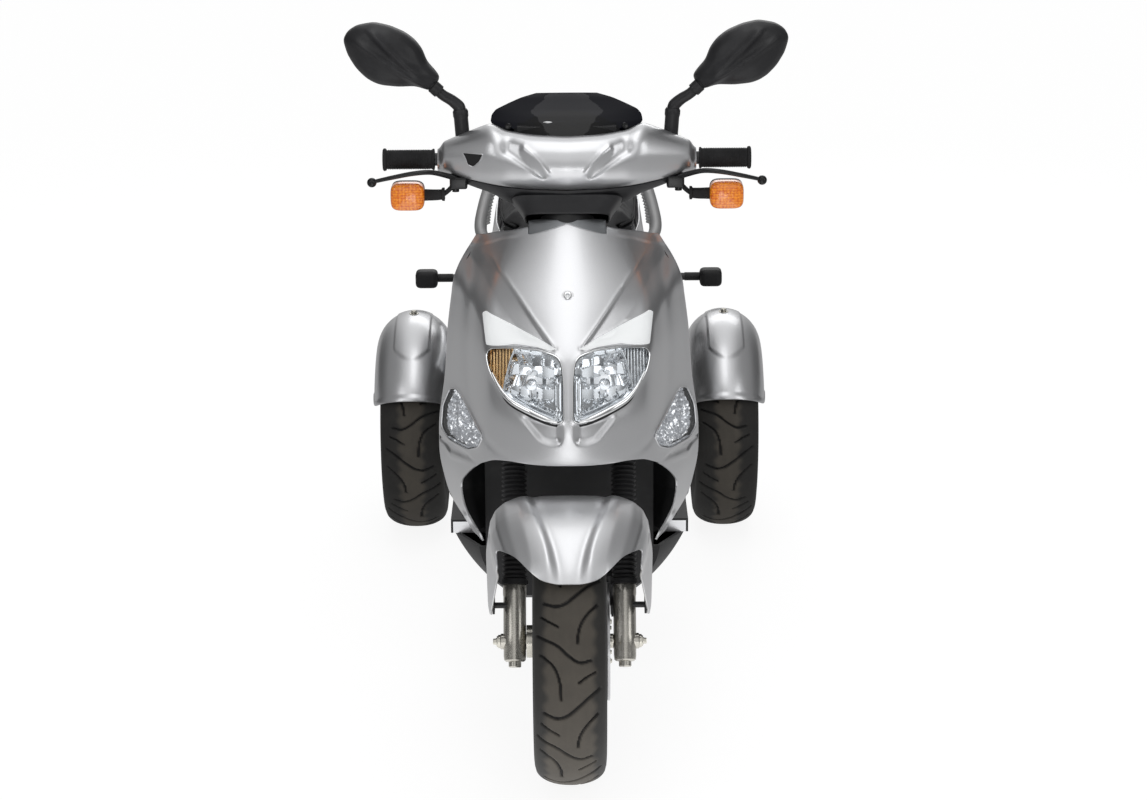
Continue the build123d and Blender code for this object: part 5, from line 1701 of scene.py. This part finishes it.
# %%
# Levers, grips and the bar's clamp
lever_path = [(186, 362, 939), (206, 351, 948), (232, 339, 956), (262, 333, 955), (296, 331, 949),
              (322, 333, 943), (328, 334, 941)]
lever = tube("lever", lever_path, [7, 6.4, 6.0, 5.6, 5.2, 4.6, 4.4], 20, squash=0.72)
half_circle, ball_radius = np.linspace(0.05, math.pi - 0.05, 17), 8.2
ball = lathe("ball", ball_radius * np.stack([np.sin(half_circle), -np.cos(half_circle)], -1),
             (331, 334, 940), (1, 0, -0.3), 28)
perch = block("perch", (170, 352, 923), (200, 384, 944), 4)
clamp = block("clamp", (170, 376, 932), (200, 399, 966), 4)
pivot = lathe("pivot", [(6, -2), (6, 24), (4, 25), (0.1, 25)], (190, 360, 920), (0, 0, 1), 20)
lever = join("brake_lever", [lever, ball, perch, clamp, pivot])
place_pair(lever, "steering", gloss_black, ["brake_levers"])

bar_middle, sideways = (0, bar_y, bar_z), (1, 0, 0)
grip_profile = [(14.6, 226), (18, 226.5), (18.4, 229), (16.3, 231.5), (16.0, 308), (18.5, 309), (19.4, 311),
                (19.4, 313.5), (17, 315), (0.1, 315)]
sleeve = lathe("grip", grip_profile, bar_middle, sideways, 48)
ribs = lathe("grip_ribs", [(15.6, 235), (16.9, 235.4), (17.0, 236.6), (15.6, 237)], bar_middle, sideways, 48)
in_row(ribs, 24, (3.0, 0, 0), soft_rubber)
place_pair(join("grip", [sleeve, ribs]), "steering", soft_rubber, ["grips"])

clamp = block("clamp", (-27, 366, 948), (27, 414, 992), 5)
arm = block("arm", (-12, 300, 962), (12, 368, 970), 2)
heads = [lathe("head", [(0.1, 6), (4, 6), (5, 5), (5, 0)], (x, y, 992), (0, 0, 1), 20)
         for x in (-17, 17) for y in (375, 405)]
place(join("handlebar_clamp", [clamp, arm] + heads), "steering", dark_steel, ["bar_clamp"])
print("levers, grips and clamp placed")

# %% [markdown]
# ## Fork
# The rubber gaiters keep dirt off the sliding tubes. Each is a row of equal folds, so one fold is
# turned and repeated up the leg. The sliders are cast aluminium with a turned foot.

# %%
# Gaiters and sliders
leg_x, slider_top, yoke_low, folds = 91.0, 94.0, 372.0, 34
fold = (yoke_low - slider_top - 18) / folds
one = [(17, 0), (17.6, 0.12), (20.8, 0.36), (21.4, 0.5), (20.8, 0.64), (17.6, 0.88), (17, 1)]
ring = lathe("fold", np.array(one) * (1, fold), fork(leg_x, 0, slider_top + 9), stem_way, 48)
in_row(ring, folds, fold * stem_way, soft_rubber)
cuff = [(16, 0), (22.5, 0.5), (22.5, 8), (19, 10), (16, 10)]
cuffs = [lathe("cuff", cuff, fork(leg_x, 0, at), stem_way, 48) for at in (slider_top, yoke_low - 10)]
place_pair(join("fork_gaiter", [ring] + cuffs), "steering", soft_rubber, ["fork_gaiters"])

slider_profile = [(0.1, -43), (9, -43), (10.4, -41.5), (10.4, -34), (15, -33.4), (17.8, -31), (18.6, -24),
                  (18.6, -14), (19.6, -10), (19.6, 8), (18.8, 13), (18.8, 74), (19.6, 78), (19.6, 92),
                  (18.6, slider_top), (0.1, slider_top)]
slider = lathe("slider", slider_profile, fork(leg_x, 0, 0), stem_way, 64)
boss = lathe("boss", [(13, 0), (13, 22.5), (11.5, 24), (0.1, 24)], (leg_x, 0, axle_height), (1, 0, 0), 32)
ear_outline = rounded([(6, 280), (30, 284), (34, 302), (22, 308), (4, 302)], 40, 1.2)
ear = join("fender_stay", [plate("ear", ear_outline, "x", 123.6, 127.6, 1.0),
                           tube("arm", [(leg_x + 12, 18, 293), (118, 18, 293), (125.5, 18, 293)], 5.0, 20)])
place_pair(join("fork_slider", [slider, boss]), "steering", fork_alloy, ["fork_sliders"])
place_pair(ear, "steering", frame_paint)
nut_profile = [(0.1, 36), (4.4, 36), (5, 35), (5, 30), (8.6, 30), (9.4, 29), (9.4, 21.5), (12, 21),
               (12, 19.6)]
nut = lathe("axle_nut", nut_profile, (leg_x, 0, axle_height), (1, 0, 0), 6, sharp=20)
place_pair(nut, "steering", zinc)
print("gaiter folds", folds)

# %% [markdown]
# ## Seat
# A foam pad under a vinyl cover, stapled over a plastic pan. The pad starts as the CAD block, is
# blown up a little as cloth so that its sides pull in between the corners, and then gets the
# sewn dip between its two levels and a rolled piping along its lower edge.

# %%
# Padded cushion
cushion = linked("seat_pad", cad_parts["seat_cushion"].data.copy())
centre = Vector(np.mean([v.co for v in cushion.data.vertices], axis=0))
smaller = Matrix.Diagonal((0.968, 0.985, 0.94, 1))
cushion.data.transform(Matrix.Translation(centre) @ smaller @ Matrix.Translation(-centre))
remesh = cushion.modifiers.new("even", "REMESH")
remesh.mode, remesh.voxel_size = "VOXEL", 0.006
bake(cushion)
with edited(cushion) as bm:
    for _ in range(2):
        bmesh.ops.smooth_vert(bm, verts=bm.verts[:], factor=0.5, use_axis_x=True, use_axis_y=True,
                              use_axis_z=True)
start = np.array([v.co for v in cushion.data.vertices])
seat_slope = 0.055
pad_low = start[:, 2].min() + 0.004 + (start[:, 1] - start[:, 1].min()) * seat_slope
held = cushion.vertex_groups.new(name="held")
held.add([int(k) for k in np.nonzero(start[:, 2] < pad_low)[0]], 1.0, "REPLACE")
cloth = cushion.modifiers.new("cloth", "CLOTH")
cloth.settings.use_pressure, cloth.settings.uniform_pressure_force = True, 4.0
cloth.settings.effector_weights.gravity = 0
cloth.settings.vertex_group_mass = "held"
cloth.settings.tension_stiffness = cloth.settings.compression_stiffness = 18
for number in range(1, 21):
    bpy.context.scene.frame_set(number)
bake(cushion)
bpy.context.scene.frame_set(1)
blown = np.array([v.co for v in cushion.data.vertices])
move = blown - start
length = np.linalg.norm(move, axis=1)
most = 0.009
blown = start + move * np.minimum(1, most / np.maximum(length, 1e-9))[:, None]
x_mm, y_mm = blown[:, 0] * 1000, (blown[:, 1] - front_axle_y) * 1000
step_line = 1175 - 0.0018 * x_mm ** 2
blown[:, 2] -= 0.0045 * hump(y_mm - step_line, 9.0) * step(blown[:, 2], pad_low.min() + 0.03, 0.02)
cushion.data.vertices.foreach_set("co", blown.ravel())
smooth = cushion.modifiers.new("smooth", "SUBSURF")
smooth.levels = smooth.render_levels = 1
bake(cushion)
cushion.data.shade_smooth()
place(cushion, "seat", seat_vinyl, ["seat_cushion"])
print("cushion faces", len(cushion.data.polygons), "most moved", round(float(length.max() * 1000), 1), "mm")


# %%
# Piping along the cushion's edge
def seat_line(y, front_level=736):
    """Height of the seam under the seat, or of a line beside it."""
    return front_level + (y - 790) * seat_slope


pad_x, pad_y, pad_z = np.array([v.co for v in cushion.data.vertices]).T * 1000
pad_y -= front_axle_y * 1000
piping = []
for y in np.linspace(812, 1452, 41):
    z = seat_line(y, 746) + 6
    near = (np.abs(pad_y - y) < 9) & (np.abs(pad_z - z) < 9)
    piping.append((np.max(np.abs(pad_x[near]), initial=20.0) + 0.6, y, z))
piping = soften(np.array(piping), 1.5)
loop = np.vstack([piping, (piping * (-1, 1, 1))[::-1]])
place(tube("seat_piping", loop, 2.6, 10, count=260), "seat", soft_rubber)
print("piping points", len(loop))

# %% [markdown]
# ## Grab rail
# A cast hoop behind the seat, for the passenger's hands and for pulling the vehicle backwards.
# The inside of its arms is serrated, so that a glove grips it: one tooth, repeated.

# %%
# Rail
rail_half = [(148, 1120, 640), (174, 1160, 664), (168, 1215, 704), (148, 1290, 752), (112, 1420, 802),
             (44, 1506, 826)]
rail_path = rail_half + [(-x, y, z) for x, y, z in reversed(rail_half)]
rail_radii = [10, 12.5, 13.5, 13.5, 13, 12, 12, 13, 13.5, 13.5, 12.5, 10]
rail = tube("rail", rail_path, rail_radii, 28, count=180, squash=0.86)
foot = block("foot", (-25, 1495, 766), (25, 1517, 828), 5)
feet = [tube("side_foot", [(side * 124, 1106, 628), (side * 138, 1115, 636), (side * 150, 1124, 643)], 12, 20)
        for side in (1, -1)]
place(join("grab_rail_cast", [rail, foot] + feet), "chassis", rail_alloy, ["grab_rail"])
tooth = block("tooth", origin - (2.5, 2.5, 3), origin + (2.5, 2.5, 6.5), 1.4, 2)
spots = []
for at in spline(rail_half[1:5], 27)[2:25]:
    for side in (1, -1):
        inward = np.array([-side * 0.93, 0.1, 0.35])
        spots.append((at * (side, 1, 1) + inward * 11.5, inward, 1.0))
teeth = on_spots("grab_rail_teeth", tooth, spots, rail_alloy)
bpy.data.objects.remove(tooth)
place(teeth, "chassis", None)
print("rail teeth", len(spots))

# %% [markdown]
# ## Side panels
# Two large mouldings run from the floor to the tail lamp. Like the leg shield they are drawn again
# as dense surfaces: every section is an arc through its top edge, its bulge and its lower edge. A
# step is moulded along them for stiffness.

# %%
# Side panels
# y, x of the top edge, x and z of the bulge, x and z of the lower edge
panel_rows = [(790, 122, 146, 590, 150, 312), (900, 137, 158, 650, 168, 400), (1060, 139, 150, 665, 156, 478),
              (1250, 131, 137, 700, 128, 570), (1420, 106, 118, 730, 96, 640), (1545, 72, 84, 745, 64, 684)]
swage_line = [(790, 560), (950, 596), (1150, 640), (1400, 700), (1545, 722)]
panel_y = np.linspace(790, 1545, 190)
rows = soften(along(panel_rows, panel_y), 5)
top = np.stack([rows[:, 0], seat_line(panel_y) - 0.4], -1)
section = through(top, rows[:, 1:3], rows[:, 3:5], 120)
points = np.stack([section[..., 0], np.broadcast_to(panel_y, section.shape[:2]), section[..., 1]], -1)
above = points[..., 2] - table(swage_line, points[..., 1])
fade = step(points[..., 1], 800, 60) * (1 - step(points[..., 1], 1440, 80))
points[..., 0] += (2.6 * step(above, -5, 7) * (1 - step(above, 6, 60)) - 1.2 * hump(above + 6, 3)) * fade
panel = thicken(grid("side_panel_shell", points, sharp=55), 3.6, 0.6)
_, right_panel = place_pair(panel, "chassis", silver, ["side_panel_left"])
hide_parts("side_panel_right")
print("side panel faces", len(panel.data.polygons))

# %% [markdown]
# ## Floor, engine and axle details
# A rubber mat with raised ribs covers the floor. The cylinder is cooled by fins, the cases are held
# by rows of screws, and the belt case has ribs that carry its heat away. One fin, one rib and one
# screw are drawn; Geometry Nodes sets the rest.

# %%
# Ribs and fins
rib = block("floor_ribs", (-193, 462, 299), (-187, 772, 302.6), 1.2, 2)
place(in_row(rib, 21, (19, 0, 0), soft_rubber), "chassis")
fin = block("cylinder_fins", (-70, 853, 255), (34, 855.4, 373), 0.8, 1)
place(in_row(fin, 9, (0, 5.9, 0), cast_alloy), "chassis")
rib = block("belt_case_ribs", (109, 1080, 232), (114.2, 1084.5, 318), 1.5, 2)
place(in_row(rib, 9, (0, 18, -5.2), cast_alloy), "chassis")
print("ribs and fins placed")


# %%
# Screws
def screw_head(name, radius, height):
    """A hexagon head on a washer, round the world's origin, its axis along Z."""
    return lathe(name, [(0.1, height), (radius * 0.8, height), (radius, height * 0.85), (radius, 1.2),
                        (radius * 1.5, 1.1), (radius * 1.5, -0.6), (0.1, -0.6)], origin, (0, 0, 1), 12, 25)


def ring_of(centre, radius, count, start, x, way):
    """Spots on a circle across X."""
    middle, turns = np.array([x, *centre]), np.radians(start + 360 / count * np.arange(count))
    return [(middle + (0, radius * math.cos(t), radius * math.sin(t)), way, 1.0) for t in turns]


out = (1, 0, 0)
small = screw_head("small_screw", 3.6, 3.4)
large = screw_head("large_screw", 6.0, 6.0)
rear_axle = (wheelbase, rear_axle_height)
case_spots = ring_of((1000, 298), 87, 8, 70, 112, out)[:6] + ring_of(rear_axle, 75, 7, -150, 112, out)[1:]
plate_spots = [((x, 1634, 588), (0, 1, 0), 1.0) for x in (-60, 60)]
place(on_spots("case_screws", small, case_spots, zinc), "chassis")
place(on_spots("plate_screws", small, plate_spots, zinc), "chassis")
disc_spots = ring_of((0, axle_height), 34, 5, 18, 66, out)
place(on_spots("disc_screws", small, disc_spots, zinc), "front_wheel")
for name, side in both_sides:
    nuts = ring_of(rear_axle, 30, 4, 45, side * 340, (side, 0, 0))
    place(on_spots(f"hub_nuts_{name}", large, nuts, zinc), f"rear_wheel_{name}")
for piece in (small, large):
    bpy.data.objects.remove(piece)
print("screws", len(case_spots) + len(plate_spots) + len(disc_spots) + 8)

# %% [markdown]
# ## Silencer and rear lamps
# A curved heat shield keeps legs off the silencer. The rear indicators carry amber lenses that
# face backwards, each in a black box on the lamp bar.

# %%
# Heat shield, lenses and valves
slope = 48 / 370
angle = np.radians(np.linspace(118, 242, 41))
shield_points = []
for back_at in np.linspace(1196, 1452, 33):
    radius = 41 + 3.0 * step(back_at, 1196, 8) * (1 - step(back_at, 1444, 8))
    shield_points.append(np.stack([-194 + radius * np.cos(angle), back_at + 0 * angle,
                                   372 + (back_at - 1150) * slope + radius * np.sin(angle)], -1))
heat_shield = thicken(grid("heat_shield", np.array(shield_points)), 1.6, 0.4)
place(heat_shield, "chassis", chrome)

stub = tube("stub", [(250, 1575, 466), (285, 1575, 466)], 9, 24)
body = block("body", (282, 1549.5, 447), (330, 1589, 485), 13, 6)
body = join("rear_indicator_body", [stub, body])
place_pair(body, "chassis", black_plastic, ["rear_indicators"])
lens = block("rear_indicator_lens", (285, 1577, 449.5), (327.5, 1592, 482.5), 12, 6)
place_pair(lens, "chassis", amber)
# body, x, then y and z of the valve's foot
for body, x, y, z in (("front_wheel", -32, 132, axle_height),
                      ("rear_wheel_left", 352, wheelbase + 108, rear_axle_height),
                      ("rear_wheel_right", -352, wheelbase + 108, rear_axle_height)):
    side = math.copysign(1, x)
    valve = tube(f"{body}_valve", [(x - side * 16, y, z), (x, y - 5, z), (x + side * 10, y - 8, z)],
                 [4.2, 3.6, 3.2], 12)
    place(valve, body, soft_rubber)
print("heat shield, lenses and valves placed")

# %% [markdown]
# ## Rider's side
# What the rider sees and uses: a lid over the storage in the leg shield, its latch, the ignition
# switch, a bag hook and the screws that hold the shield. The lid is drawn as the panel is: an
# outline filled with a surface that follows the panel's curve and rises from it with a round edge.

# %%
# Lid, switch, hook and screws
def inner_face(x):
    """y of the inner shield's flat part at x."""
    return 440 - 0.00194 * np.asarray(x, float) ** 2


lid_outline = rounded([(-78, 504), (-84, 640), (-60, 652), (60, 652), (84, 640), (78, 504), (60, 494),
                       (-60, 494)], 120, 1.4)
lid = patch("storage_lid", lid_outline, lambda x, z, r: np.stack(
    [x, inner_face(x) + 4.0 * np.sqrt(np.clip((1 - r) * 9, 0, 1)), z], -1), 40, back=True)
place(thicken(lid, 2.2, 0), "chassis", dark_plastic)
latch = block("storage_latch", (-17, 442, 628), (17, 450.5, 642), 3)
place(latch, "chassis", gloss_black)
barrel = lathe("ignition_switch", [(17, -2), (17, 3), (15, 5), (8, 5.4), (7.4, 3), (0.1, 3)],
               (-66, inner_face(66), 738), (-0.25, 0.97, 0), 40)
place(barrel, "chassis", zinc)
hook = tube("hook", [(0, 441, 704), (0, 454, 700), (0, 466, 700), (0, 471, 709), (0, 468, 718)],
            [5, 4.6, 4.4, 4.2, 4.0], 16)
plate_back = block("hook_plate", (-12, 438, 688), (12, 444, 722), 3)
place(join("bag_hook", [hook, plate_back]), "chassis", gloss_black)
small = screw_head("small_screw", 3.6, 3.0)
spots = [((x, float(inner_face(x)) - 0.4, z), (0.0039 * x, 1, 0), 1.2) for x in (-98, 98) for z in (470, 790)]
place(on_spots("shield_screws", small, spots, zinc), "chassis")
bpy.data.objects.remove(small)
print("rider's side placed")

# %%
# Dial marks
mark = block("mark", origin - (0.5, 0.3, 2.2), origin + (0.5, 0.3, 2.2), 0.1, 1)
marks = []
across, uphill = np.array([1, 0, 0]), np.array([0, -0.98, 0.18])
for _, at, radius in dials:
    for k in range(11):
        turn = math.radians(210 - 24 * k)
        way = across * math.cos(turn) + uphill * math.sin(turn)
        marks.append((np.array(at) + way * (radius - 7) + np.array([0, 0.1, 0.9]), tuple(way), 1.0))
place(on_spots("dial_marks", mark, marks, white_paint), "steering")
bpy.data.objects.remove(mark)
print("dial marks", len(marks))

# %% [markdown]
# ## Finishes for the CAD pieces that keep their form
# What is machined, welded or hidden keeps its CAD mesh and only gets its metal, paint or plastic.

# %%
# Finishes
kept = (
    (black_plastic, "inner_leg_shield splash_guard footboard belly_pan underseat_bin fan_cover air_box "
                    "plate_hanger seat_pan"),
    (dark_steel, "rear_axle muffler lamp_bar steering_stem brake_caliper handlebar"),
    (silver, "floor_side_beams seat_box_front tail_cowl"),
    (wheel_alloy, "front_rim rear_rim_left rear_rim_right"),
    (cast_alloy, "engine_block belt_case"),
    (bright_steel, "rear_shocks front_brake_disc"),
    (frame_paint, "main_frame"), (red, "tail_lamp"), (white_paint, "number_plate"), (zinc, "front_axle"),
    (gloss_black, "dial_panel"),
)
for material, names in kept:
    for node_name in names.split():
        finish_node(node_name, material)
print("kept nodes", sum(len(names.split()) for _, names in kept))
